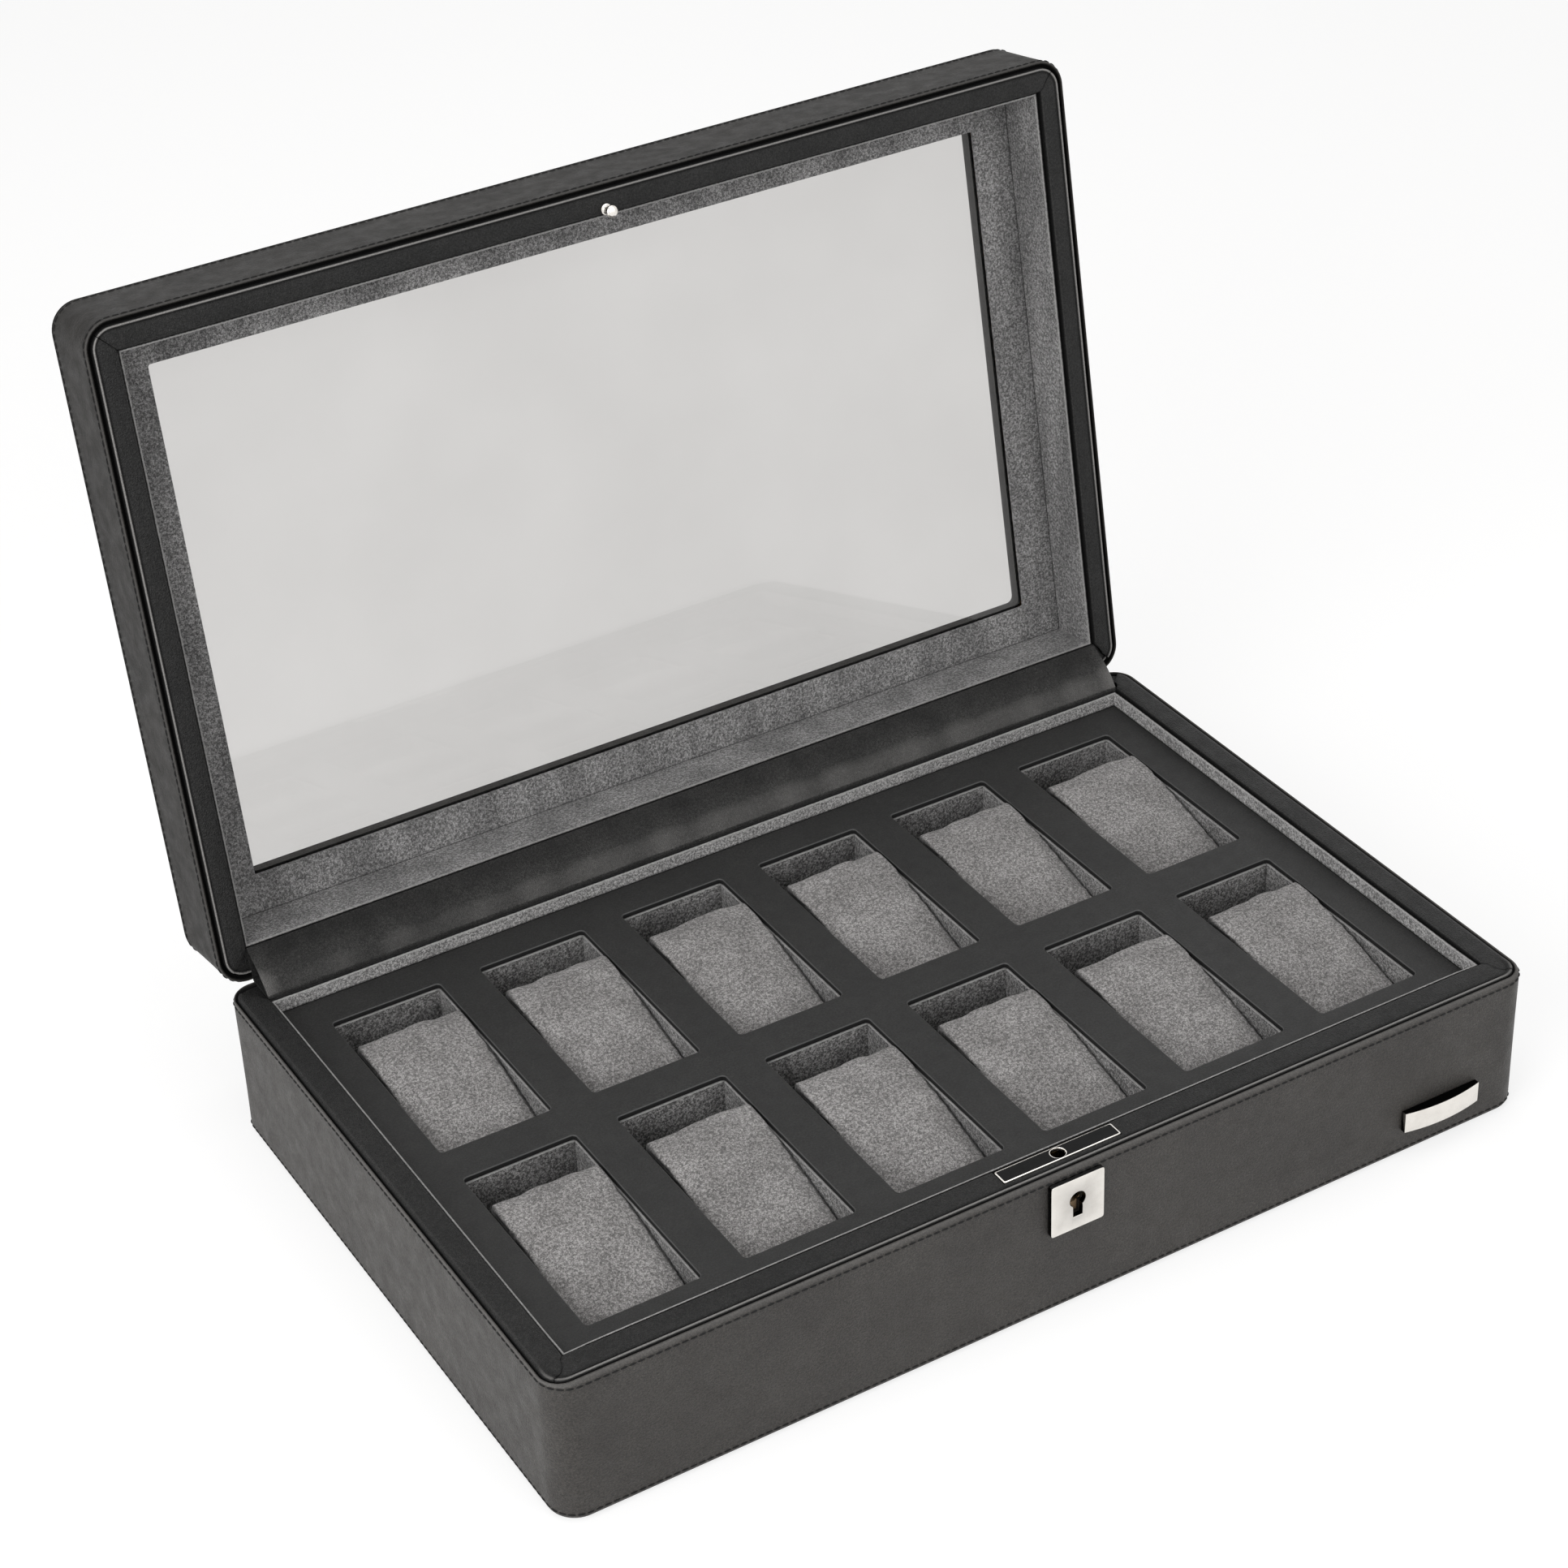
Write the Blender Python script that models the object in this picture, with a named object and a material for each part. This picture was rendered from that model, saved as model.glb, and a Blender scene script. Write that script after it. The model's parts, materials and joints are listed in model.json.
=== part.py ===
"""Watch box for twelve watches.

A wooden case covered in smooth dark leather, with a glazed lid on a leather hinge, a suede-lined
tray of twelve wells in two rows, a lift-out cushion in each well and a small key lock in the front.
Lengths are metres, +Z is up, the lock faces -Y and the hinge lies along X at the rear. The origin
is the centre of the underside. The lid is modelled shut, about its hinge axis, and the empty that
carries it turns it open.
"""

import math

import bmesh
import bpy
from mathutils import Matrix, Vector

# ---- case ------------------------------------------------------------------------------------
WIDTH = 0.375  # outside, left to right
DEPTH = 0.2386  # outside, front to rear
BASE_HEIGHT = 0.0557  # underside to the top of the base's rim
LID_HEIGHT = 0.0325  # rim of the lid to its outer face
LID_OPEN_DEG = 100.2  # from shut to resting open on the hinge flap
CLOSED_GAP = 0.0006  # left between the two rims when the lid is shut
CORNER_RADIUS = 0.010  # vertical outside corners
RIM_ROUNDING = 0.0022  # padded outer edge of each rim
CLEARANCE = 0.0003  # between neighbouring pieces

# ---- coverings -------------------------------------------------------------------------------
LEATHER = 0.0012  # side and top leather
RIM_LEATHER = 0.0026  # leather over padding on the rims
RIM_STEP = 0.0016  # folded edge of the side leather, below the rim
SUEDE = 0.0010  # lining of the walls
LINING_STEP = 0.0005  # top of the lining, below the rim
HEM_WIDTH = 0.0027  # side leather turned in under the case
HEM_LIFT = 0.0003  # hem above the table
HEM_RADIUS = 0.0020  # soft bottom edge
FELT = 0.0012
FELT_INSET = 0.0030
FLOOR_BOARD = 0.0040

# ---- rims: wall, covering and lining edge together -------------------------------------------
BASE_RIM_SIDE = 0.0114
BASE_RIM_FRONT = 0.0138
BASE_RIM_REAR = 0.0129
LID_RIM_SIDE = 0.0110
LID_RIM_FRONT = 0.0112
LID_RIM_REAR = 0.0120
REAR_RIM_DROP = 0.0012  # rear rims lie lower and take the hinge leather

# ---- tray and wells --------------------------------------------------------------------------
TRAY_DEPTH = 0.0069  # rim to the tray plate
TRAY_PLATE = 0.0020
COLUMNS = 6
ROWS = 2
TRAY_BORDER_SIDE = 0.01495  # rim to the outermost openings
TRAY_BORDER_FRONT = 0.0139
TRAY_BORDER_REAR = 0.0160
WEB_X = 0.0155  # between openings
WEB_Y = 0.0156
OPENING_RADIUS = 0.0015
WELL_LEDGE = 0.0004  # lining of a well shows inside the opening
WELL_FLOOR = 0.0010

# ---- cushions --------------------------------------------------------------------------------
BAND_GAP = 0.0175  # behind a cushion, for the strap
CUSHION_TOP = 0.0013  # back edge above the tray plate
CUSHION_FALL = 0.0135  # how much lower the top is at the front
CUSHION_FALL_POWER = 1.7
CUSHION_CROWN = 0.0009
CUSHION_PULL = 0.0006  # how far the sides draw in between the corners
CUSHION_EDGE = 0.0016  # rounding of the side edges
CUSHION_BACK_RADIUS = 0.0030
CUSHION_FRONT_RADIUS = 0.0080
CUSHION_FOOT_RADIUS = 0.0030

# ---- lid window ------------------------------------------------------------------------------
WINDOW_BORDER_SIDE = 0.0265  # outside of the lid to the window
WINDOW_BORDER_FRONT = 0.0250
WINDOW_BORDER_REAR = 0.0266
WINDOW_RADIUS = 0.0025
GLASS = 0.0030
GLASS_SEAT = 0.0070  # glass held all round behind the window's edge
WINDOW_FRAME = 0.0014  # suede-covered frame under the glass
TOP_PANEL = 0.0034
TOP_EDGE_RADIUS = 0.0010

# ---- hinge -----------------------------------------------------------------------------------
HINGE_INSET = 0.0005  # axis in from the rear face
HINGE_END = 0.0111  # hinge leather short of each side
HINGE_LEATHER = 0.0006
FLAP_LEATHER = 0.0009
FLAP_BULGE = 0.0010
FLAP_STEPS = 10

# ---- lock ------------------------------------------------------------------------------------
LOCK_MARGIN = 0.0046  # rim's inner edge to the middle of the lock plate
LOCK_PLATE_LENGTH = 0.0450
LOCK_PLATE_WIDTH = 0.0062
LOCK_PLATE = 0.0012
LOCK_PLATE_PROUD = 0.0003
STUD_HOLE_RADIUS = 0.0025
CASE_LENGTH = 0.0300
CASE_DEPTH = 0.0060
CASE_HEIGHT = 0.0250
CASE_WALL = 0.0007
KEY_DROP = 0.0110  # key axis below the rim
KEY_PASSAGE_RADIUS = 0.0036
KEY_PIN_RADIUS = 0.0009
ROTOR_TUBE_RADIUS = 0.0030
ROTOR_BORE_RADIUS = 0.0022
ROTOR_FLANGE_RADIUS = 0.0042
ROTOR_FLANGE = 0.0012
ROTOR_SLOT = 0.0022
DRIVE_PIN_RADIUS = 0.0008
DRIVE_PIN_LENGTH = 0.0017
LOCK_TURN_DEG = 90.0
BOLT_TRAVEL = 0.0040
BOLT_THICKNESS = 0.0012
BOLT_TAIL = 0.0105  # bar length behind its hooked end
BOLT_PRONG = 0.0008
BOLT_LEG_WIDTH = 0.0050
BOLT_ARM_HEIGHT = 0.0034
BOLT_PLAY = 0.00025  # fork round the drive pin, and hook round the stud
STUD_NECK_RADIUS = 0.0011
STUD_HEAD_RADIUS = 0.0021
STUD_NECK_LENGTH = 0.0034
STUD_HEAD_LENGTH = 0.0018

# ---- front fittings --------------------------------------------------------------------------
ESCUTCHEON = 0.0204
ESCUTCHEON_THICKNESS = 0.0018
ESCUTCHEON_DROP = 0.0125  # centre below the rim
KEYHOLE_RADIUS = 0.0030
KEYHOLE_SLOT_WIDTH = 0.0036
KEYHOLE_SLOT_REACH = 0.0067  # slot's foot below the key axis
NAMEPLATE_LENGTH = 0.0310
NAMEPLATE_HEIGHT = 0.0082
NAMEPLATE_THICKNESS = 0.0018  # at its two ends
NAMEPLATE_BOW = 0.0026
NAMEPLATE_INSET = 0.0371  # its middle from the right side
NAMEPLATE_Z = 0.0146
PLATE_BEVEL = 0.00025

# ---- facet counts ----------------------------------------------------------------------------
CORNER_STEPS = 6
SMALL_CORNER_STEPS = 2
WINDOW_CORNER_STEPS = 4
ROUND_STEPS = 24
ROLL_STEPS = 3

# ---- places worked out from the sizes --------------------------------------------------------
RIM_Z = BASE_HEIGHT
FRONT_Y = -DEPTH / 2
REAR_Y = DEPTH / 2
COVER_INSET = LEATHER + CLEARANCE
HINGE_Y = REAR_Y - HINGE_INSET
HINGE_Z = RIM_Z + CLOSED_GAP / 2
LID_RIM_Z = RIM_Z + CLOSED_GAP
TRAY_Z = RIM_Z - TRAY_DEPTH
BOARD_Z = FELT + CLEARANCE
WALL_Z = BOARD_Z + FLOOR_BOARD + CLEARANCE
WELL_Z = WALL_Z + WELL_FLOOR
TRAY_WIDTH = WIDTH - 2 * (BASE_RIM_SIDE + TRAY_BORDER_SIDE)
TRAY_LENGTH = DEPTH - BASE_RIM_FRONT - BASE_RIM_REAR - TRAY_BORDER_FRONT - TRAY_BORDER_REAR
OPENING_WIDTH = (TRAY_WIDTH - (COLUMNS - 1) * WEB_X) / COLUMNS
OPENING_LENGTH = (TRAY_LENGTH - (ROWS - 1) * WEB_Y) / ROWS
OPENING_STEP_X = OPENING_WIDTH + WEB_X
OPENING_STEP_Y = OPENING_LENGTH + WEB_Y
TRAY_CENTRE_Y = FRONT_Y + BASE_RIM_FRONT + TRAY_BORDER_FRONT + TRAY_LENGTH / 2
CUSHION_LENGTH = OPENING_LENGTH - WELL_LEDGE - CLEARANCE - BAND_GAP
WINDOW_WIDTH = WIDTH - 2 * WINDOW_BORDER_SIDE
WINDOW_LENGTH = DEPTH - WINDOW_BORDER_FRONT - WINDOW_BORDER_REAR
WINDOW_CENTRE_Y = (WINDOW_BORDER_FRONT - WINDOW_BORDER_REAR) / 2
HINGE_LENGTH = WIDTH - 2 * HINGE_END
LOCK_CENTRE_Y = FRONT_Y + BASE_RIM_FRONT - LOCK_MARGIN
KEY_Z = RIM_Z - KEY_DROP
DRIVE_RADIUS = BOLT_TRAVEL / (2 * math.sin(math.radians(LOCK_TURN_DEG / 2)))

COLOURS = {
    "smooth_leather": ((0.070, 0.066, 0.062), 0.55, 0.0),
    "rim_leather": ((0.033, 0.033, 0.033), 0.60, 0.0),
    "tray_leather": ((0.030, 0.030, 0.030), 0.62, 0.0),
    "suede": ((0.130, 0.128, 0.128), 0.95, 0.0),
    "cushion_suede": ((0.240, 0.236, 0.234), 0.95, 0.0),
    "hinge_leather": ((0.060, 0.058, 0.056), 0.60, 0.0),
    "board": ((0.420, 0.300, 0.190), 0.80, 0.0),
    "felt": ((0.020, 0.020, 0.020), 0.98, 0.0),
    "glass": ((0.900, 0.920, 0.910), 0.05, 0.0),
    "polished_steel": ((0.780, 0.760, 0.730), 0.18, 1.0),
    "dark_nickel": ((0.050, 0.050, 0.055), 0.12, 1.0),
    "lock_steel": ((0.500, 0.490, 0.470), 0.40, 1.0),
}


# ---- building blocks -------------------------------------------------------------------------
def material(name):
    """The named material, made once."""
    found = bpy.data.materials.get(name)
    if found:
        return found
    colour, roughness, metallic = COLOURS[name]
    made = bpy.data.materials.new(name)
    made.use_nodes = True
    shader = made.node_tree.nodes["Principled BSDF"]
    shader.inputs["Base Color"].default_value = (*colour, 1.0)
    shader.inputs["Roughness"].default_value = roughness
    shader.inputs["Metallic"].default_value = metallic
    made.diffuse_color = (*colour, 1.0)
    return made


def place(name, mesh, finish, parent=None, location=(0, 0, 0), smooth=False):
    """Put a mesh into the scene as a named object."""
    made = bpy.data.objects.new(name, mesh)
    bpy.context.scene.collection.objects.link(made)
    made.location = location
    made.parent = parent
    if not mesh.materials:
        mesh.materials.append(material(finish))
    if smooth:
        mesh.shade_smooth()
        mesh.set_sharp_from_angle(angle=math.radians(35))
    return made


def finish_mesh(bm, name):
    """Turn a bmesh into a mesh with its faces pointing out."""
    bmesh.ops.recalc_face_normals(bm, faces=bm.faces)
    mesh = bpy.data.meshes.new(name)
    bm.to_mesh(mesh)
    bm.free()
    return mesh


def arc(centre, radius, start_deg, end_deg, steps):
    """Points along an arc in a plane."""
    turns = [start_deg + (end_deg - start_deg) * i / steps for i in range(steps + 1)]
    return [
        (centre[0] + radius * math.cos(turn), centre[1] + radius * math.sin(turn))
        for turn in map(math.radians, turns)
    ]


def rounded_rectangle(x0, x1, y0, y1, radius, steps):
    """Outline of a rectangle with round corners, anticlockwise from the left front corner."""
    corners = ((x0, y0, 1, 1, 180), (x1, y0, -1, 1, 270), (x1, y1, -1, -1, 0), (x0, y1, 1, -1, 90))
    points = []
    for x, y, side_x, side_y, start in corners:
        centre = (x + side_x * radius, y + side_y * radius)
        points += arc(centre, radius, start, start + 90, steps)
    return points


def prism(name, outline, low, high, axis="Z"):
    """Solid between two planes with the given outline: (x, y) for Z, (y, z) for X, (x, z) for Y."""
    bm = bmesh.new()
    lay = {"Z": lambda a, b, h: (a, b, h), "X": lambda a, b, h: (h, a, b), "Y": lambda a, b, h: (a, h, b)}
    ends = [[bm.verts.new(lay[axis](a, b, h)) for a, b in outline] for h in (low, high)]
    count = len(outline)
    for i in range(count):
        j = (i + 1) % count
        bm.faces.new((ends[0][i], ends[0][j], ends[1][j], ends[1][i]))
    bm.faces.new(ends[0])
    bm.faces.new(list(reversed(ends[1])))
    return finish_mesh(bm, name)


def box(name, low, high):
    """Block between two opposite corners."""
    outline = [(low[0], low[1]), (high[0], low[1]), (high[0], high[1]), (low[0], high[1])]
    return prism(name, outline, low[2], high[2])


def ring(name, rails):
    """Closed ring through a loop of rails, each an (outline, height) pair of equal length."""
    bm = bmesh.new()
    loops = [[bm.verts.new((x, y, z)) for x, y in outline] for outline, z in rails]
    count = len(loops[0])
    for here, there in zip(loops, loops[1:] + loops[:1]):
        for i in range(count):
            j = (i + 1) % count
            bm.faces.new((here[i], here[j], there[j], there[i]))
    return finish_mesh(bm, name)


def turned(name, profile, steps=ROUND_STEPS):
    """Solid of revolution about Y from a closed (radius, y) profile that stays off the axis."""
    bm = bmesh.new()
    loops = []
    for i in range(steps):
        a = 2 * math.pi * i / steps
        loops.append([bm.verts.new((r * math.cos(a), y, r * math.sin(a))) for r, y in profile])
    for here, there in zip(loops, loops[1:] + loops[:1]):
        for i in range(len(profile)):
            j = (i + 1) % len(profile)
            bm.faces.new((here[i], here[j], there[j], there[i]))
    return finish_mesh(bm, name)


def cylinder(name, radius, low, high, axis="Y", centre=(0.0, 0.0), steps=ROUND_STEPS):
    """Round bar along an axis."""
    return prism(name, arc(centre, radius, 0, 360 - 360 / steps, steps - 1), low, high, axis)


def combine(target, mesh, operation, parent=None, location=(0, 0, 0)):
    """Cut a mesh from an object, or join it on, with a live Boolean."""
    name = f"{target.name}_{operation.lower()}_{len(target.modifiers)}"
    tool = place(name, mesh, "board", parent, location)
    tool.display_type = "WIRE"
    tool.hide_render = True
    step = target.modifiers.new(operation.title(), "BOOLEAN")
    step.operation = operation
    step.solver = "EXACT"
    step.object = tool
    return step


def soften(target, width, angle_deg=50.0):
    """Small bevel on an object's sharp edges."""
    step = target.modifiers.new("Bevel", "BEVEL")
    step.width = width
    step.segments = 1
    step.limit_method = "ANGLE"
    step.angle_limit = math.radians(angle_deg)
    step.harden_normals = False


# ---- frames with mitred corners --------------------------------------------------------------
class Frame:
    """Four mitred lengths round the case: an outer outline with round corners and three widths."""

    SIDES = ("front", "right", "rear", "left")
    ALONG = ((1, 0), (0, 1), (-1, 0), (0, -1))

    def __init__(self, inset, side, front, rear):
        self.inset = inset
        self.half = WIDTH / 2
        self.inner = (
            (-self.half + side, FRONT_Y + front),
            (self.half - side, FRONT_Y + front),
            (self.half - side, REAR_Y - rear),
            (-self.half + side, REAR_Y - rear),
        )

    def centre(self, corner):
        """Centre of an outside corner's round."""
        signs = ((1, 1), (-1, 1), (-1, -1), (1, -1))[corner]
        edge = ((-1, -1), (1, -1), (1, 1), (-1, 1))[corner]
        return (
            edge[0] * self.half + signs[0] * CORNER_RADIUS,
            edge[1] * DEPTH / 2 + signs[1] * CORNER_RADIUS,
        )

    def rail(self, side, extra):
        """Outer edge of one length, further in by extra, from mitre to mitre."""
        radius = CORNER_RADIUS - self.inset - extra
        middle = 225 + 90 * side
        steps = CORNER_STEPS // 2
        first = arc(self.centre(side), radius, middle, middle + 45, steps)
        second = arc(self.centre((side + 1) % 4), radius, middle + 45, middle + 90, steps)
        points = first + second
        along = Vector(self.ALONG[side])
        points[0] = tuple(Vector(points[0]) + along * CLEARANCE)
        points[-1] = tuple(Vector(points[-1]) - along * CLEARANCE)
        return points

    def inner_edge(self, side):
        """Inner edge of one length, from mitre to mitre."""
        along = Vector(self.ALONG[side])
        start = Vector(self.inner[side]) + along * CLEARANCE
        end = Vector(self.inner[(side + 1) % 4]) - along * CLEARANCE
        return [tuple(start), tuple(end)]

    def length(self, name, side, section):
        """One mitred length: section lists (extra inset, z) up the outer face to the inner face's top."""
        bm = bmesh.new()
        rails = [[bm.verts.new((x, y, z)) for x, y in self.rail(side, extra)] for extra, z in section]
        low, high = section[0][1], section[-1][1]
        inner = [[bm.verts.new((x, y, z)) for x, y in self.inner_edge(side)] for z in (low, high)]
        for here, there in zip(rails, rails[1:]):
            for i in range(len(here) - 1):
                bm.faces.new((here[i], here[i + 1], there[i + 1], there[i]))
        bm.faces.new(rails[-1] + [inner[1][1], inner[1][0]])
        bm.faces.new(list(reversed(rails[0])) + [inner[0][0], inner[0][1]])
        bm.faces.new((inner[0][0], inner[1][0], inner[1][1], inner[0][1]))
        bm.faces.new([r[0] for r in rails] + [inner[1][0], inner[0][0]])
        bm.faces.new([r[-1] for r in reversed(rails)] + [inner[0][1], inner[1][1]])
        return finish_mesh(bm, name)


def rim_section(low, high, upside_down=False):
    """Section of a rim's leather: flat, with a rounded outer edge on its mating side."""
    if upside_down:
        rolled = arc((RIM_ROUNDING, low + RIM_ROUNDING), RIM_ROUNDING, 180, 270, ROLL_STEPS)
        return [(0.0, high)] + rolled
    rolled = arc((RIM_ROUNDING, high - RIM_ROUNDING), RIM_ROUNDING, 180, 90, ROLL_STEPS)
    return [(0.0, low)] + rolled


def offset_outline(inset):
    """The case's outside outline, further in by inset."""
    half = WIDTH / 2 - inset
    return rounded_rectangle(
        -half, half, FRONT_Y + inset, REAR_Y - inset, CORNER_RADIUS - inset, CORNER_STEPS
    )


def inner_outline(side, front, rear, radius=0.0008):
    """Inside outline of a frame with the given widths."""
    half = WIDTH / 2 - side
    return rounded_rectangle(-half, half, FRONT_Y + front, REAR_Y - rear, radius, SMALL_CORNER_STEPS)


def window_outline(extra, radius, steps):
    """The lid's window, larger by extra all round."""
    half_x = WINDOW_WIDTH / 2 + extra
    half_y = WINDOW_LENGTH / 2 + extra
    return rounded_rectangle(
        -half_x, half_x, WINDOW_CENTRE_Y - half_y, WINDOW_CENTRE_Y + half_y, radius, steps
    )


def keyhole_outline():
    """Round hole with a slot below it, about the key axis, in (x, z)."""
    half = KEYHOLE_SLOT_WIDTH / 2
    meet = math.degrees(math.asin(half / KEYHOLE_RADIUS))
    points = arc((0.0, KEY_Z), KEYHOLE_RADIUS, -90 + meet, 270 - meet, ROUND_STEPS)
    foot = KEY_Z - KEYHOLE_SLOT_REACH
    return points + [(-half, foot), (half, foot)]


# ---- base ------------------------------------------------------------------------------------
def base_carcass():
    """Felt, floor board and the four mitred wall boards, the front one cut for the lock."""
    felt = prism("bottom_felt", offset_outline(FELT_INSET), 0.0, FELT)
    place("bottom_felt", felt, "felt")
    floor = prism("floor_board", offset_outline(COVER_INSET), BOARD_Z, BOARD_Z + FLOOR_BOARD)
    place("floor_board", floor, "board")
    frame = Frame(
        COVER_INSET, BASE_RIM_SIDE - CLEARANCE, BASE_RIM_FRONT - CLEARANCE, BASE_RIM_REAR - CLEARANCE
    )
    for side, word in enumerate(Frame.SIDES):
        drop = REAR_RIM_DROP if word == "rear" else 0.0
        top = RIM_Z - RIM_LEATHER - CLEARANCE - drop
        mesh = frame.length(f"{word}_board", side, [(0.0, WALL_Z), (0.0, top)])
        board = place(f"{word}_board", mesh, "board")
        if word == "front":
            combine(board, lock_mortise(), "DIFFERENCE")
            passage = cylinder(
                "key_passage", KEY_PASSAGE_RADIUS, FRONT_Y - LEATHER, LOCK_CENTRE_Y, "Y", (0.0, KEY_Z)
            )
            combine(board, passage, "DIFFERENCE")


def lock_mortise():
    """Pocket in the front board, open upwards and inwards, that takes the lock's case."""
    half = CASE_LENGTH / 2 + CLEARANCE
    front = LOCK_CENTRE_Y - CASE_DEPTH / 2 - CLEARANCE
    floor = case_top() - CASE_HEIGHT - CLEARANCE
    return box("lock_mortise", (-half, front, floor), (half, FRONT_Y + DEPTH / 4, RIM_Z + RIM_LEATHER))


def base_coverings():
    """Side leather with its turned-in hem, rim leathers, and the suede on the walls."""
    top = RIM_Z - RIM_STEP
    section = arc((LEATHER / 2, top - LEATHER / 2), LEATHER / 2, 0, 180, 2 * ROLL_STEPS)
    section += arc((HEM_RADIUS, HEM_LIFT + HEM_RADIUS), HEM_RADIUS, 180, 270, ROLL_STEPS)
    section += [(HEM_WIDTH, HEM_LIFT), (HEM_WIDTH, FELT), (LEATHER, FELT)]
    side = place(
        "side_leather",
        ring("side_leather", [(offset_outline(inset), z) for inset, z in section]),
        "smooth_leather",
    )
    passage = cylinder(
        "leather_passage", KEY_PASSAGE_RADIUS, FRONT_Y - LEATHER, FRONT_Y + 2 * LEATHER, "Y", (0.0, KEY_Z)
    )
    combine(side, passage, "DIFFERENCE")

    frame = Frame(
        COVER_INSET, BASE_RIM_SIDE - CLEARANCE, BASE_RIM_FRONT - CLEARANCE, BASE_RIM_REAR - CLEARANCE
    )
    for index, word in enumerate(Frame.SIDES):
        drop = REAR_RIM_DROP if word == "rear" else 0.0
        section = rim_section(RIM_Z - RIM_LEATHER - drop, RIM_Z - drop)
        mesh = frame.length(f"rim_leather_{word}", index, section)
        band = place(f"rim_leather_{word}", mesh, "rim_leather")
        if word == "front":
            combine(band, lock_plate_recess(), "DIFFERENCE")

    outer = (BASE_RIM_SIDE, BASE_RIM_FRONT, BASE_RIM_REAR)
    inner = tuple(width + SUEDE for width in outer)
    low, high = WALL_Z, RIM_Z - REAR_RIM_DROP - LINING_STEP
    rails = [
        (inner_outline(*outer), low),
        (inner_outline(*outer), high),
        (inner_outline(*inner), high),
        (inner_outline(*inner), low),
    ]
    place("wall_lining", ring("wall_lining", rails), "suede")


def lock_plate_recess():
    """Notch in the front rim's leather, open to the inside, that takes the lock plate."""
    half = LOCK_PLATE_LENGTH / 2 + CLEARANCE
    front = LOCK_CENTRE_Y - LOCK_PLATE_WIDTH / 2 - CLEARANCE
    inside = FRONT_Y + BASE_RIM_FRONT + LEATHER
    low, high = RIM_Z - 2 * RIM_LEATHER, RIM_Z + RIM_LEATHER
    return box("plate_recess", (-half, front, low), (half, inside, high))


def tray():
    """Well floor, crossed dividers, the surround they stand in, and the tray plate."""
    side = BASE_RIM_SIDE + SUEDE + CLEARANCE
    front = BASE_RIM_FRONT + SUEDE + CLEARANCE
    rear = BASE_RIM_REAR + SUEDE + CLEARANCE
    outline = inner_outline(side, front, rear)
    place("well_floor", prism("well_floor", outline, WALL_Z, WELL_Z), "suede")

    low = WELL_Z + CLEARANCE
    high = TRAY_Z - TRAY_PLATE - CLEARANCE
    half_x = (COLUMNS - 1) / 2 * OPENING_STEP_X + OPENING_WIDTH / 2 - WELL_LEDGE
    half_y = (ROWS - 1) / 2 * OPENING_STEP_Y + OPENING_LENGTH / 2 - WELL_LEDGE
    block = rounded_rectangle(
        -half_x, half_x, TRAY_CENTRE_Y - half_y, TRAY_CENTRE_Y + half_y, 0.0008, SMALL_CORNER_STEPS
    )
    surround = ring("well_surround", [(outline, low), (outline, high), (block, high), (block, low)])
    place("well_surround", surround, "suede")

    across = OPENING_STEP_X - OPENING_WIDTH + 2 * WELL_LEDGE
    along = OPENING_STEP_Y - OPENING_LENGTH + 2 * WELL_LEDGE
    reach_x, reach_y = half_x - CLEARANCE, half_y - CLEARANCE
    middle = (low + high) / 2
    posts = [(i - (COLUMNS - 2) / 2) * OPENING_STEP_X for i in range(COLUMNS - 1)]

    slotted = [(-reach_x, low)]
    for post in posts:
        left, right = post - across / 2 - CLEARANCE, post + across / 2 + CLEARANCE
        slotted += [(left, low), (left, middle), (right, middle), (right, low)]
    slotted += [(reach_x, low), (reach_x, high), (-reach_x, high)]
    long_divider = prism(
        "long_divider", slotted, TRAY_CENTRE_Y - along / 2, TRAY_CENTRE_Y + along / 2, "Y"
    )
    place("long_divider", long_divider, "suede")

    near, far = -along / 2 - CLEARANCE, along / 2 + CLEARANCE
    notch = middle - CLEARANCE
    lap = [(-reach_y, low), (reach_y, low), (reach_y, high), (far, high)]
    lap += [(far, notch), (near, notch), (near, high), (-reach_y, high)]
    cross = prism("cross_divider", lap, -across / 2, across / 2, "X")
    for number, post in enumerate(posts, 1):
        place(f"cross_divider_{number}", cross, "suede", location=(post, TRAY_CENTRE_Y, 0))

    plate = place(
        "tray_plate", prism("tray_plate", outline, TRAY_Z - TRAY_PLATE, TRAY_Z), "tray_leather"
    )
    for x, y, _ in wells():
        opening = rounded_rectangle(
            x - OPENING_WIDTH / 2,
            x + OPENING_WIDTH / 2,
            y - OPENING_LENGTH / 2,
            y + OPENING_LENGTH / 2,
            OPENING_RADIUS,
            SMALL_CORNER_STEPS,
        )
        cutter = prism("opening", opening, TRAY_Z - 2 * TRAY_PLATE, TRAY_Z + TRAY_PLATE)
        combine(plate, cutter, "DIFFERENCE")


def wells():
    """Centre of each well and its name, front row first, left to right."""
    rows = ("front", "rear")
    places = []
    for row in range(ROWS):
        y = TRAY_CENTRE_Y + (row - (ROWS - 1) / 2) * OPENING_STEP_Y
        for column in range(COLUMNS):
            x = (column - (COLUMNS - 1) / 2) * OPENING_STEP_X
            places.append((x, y, f"{rows[row]}_{column + 1}"))
    return places


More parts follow.
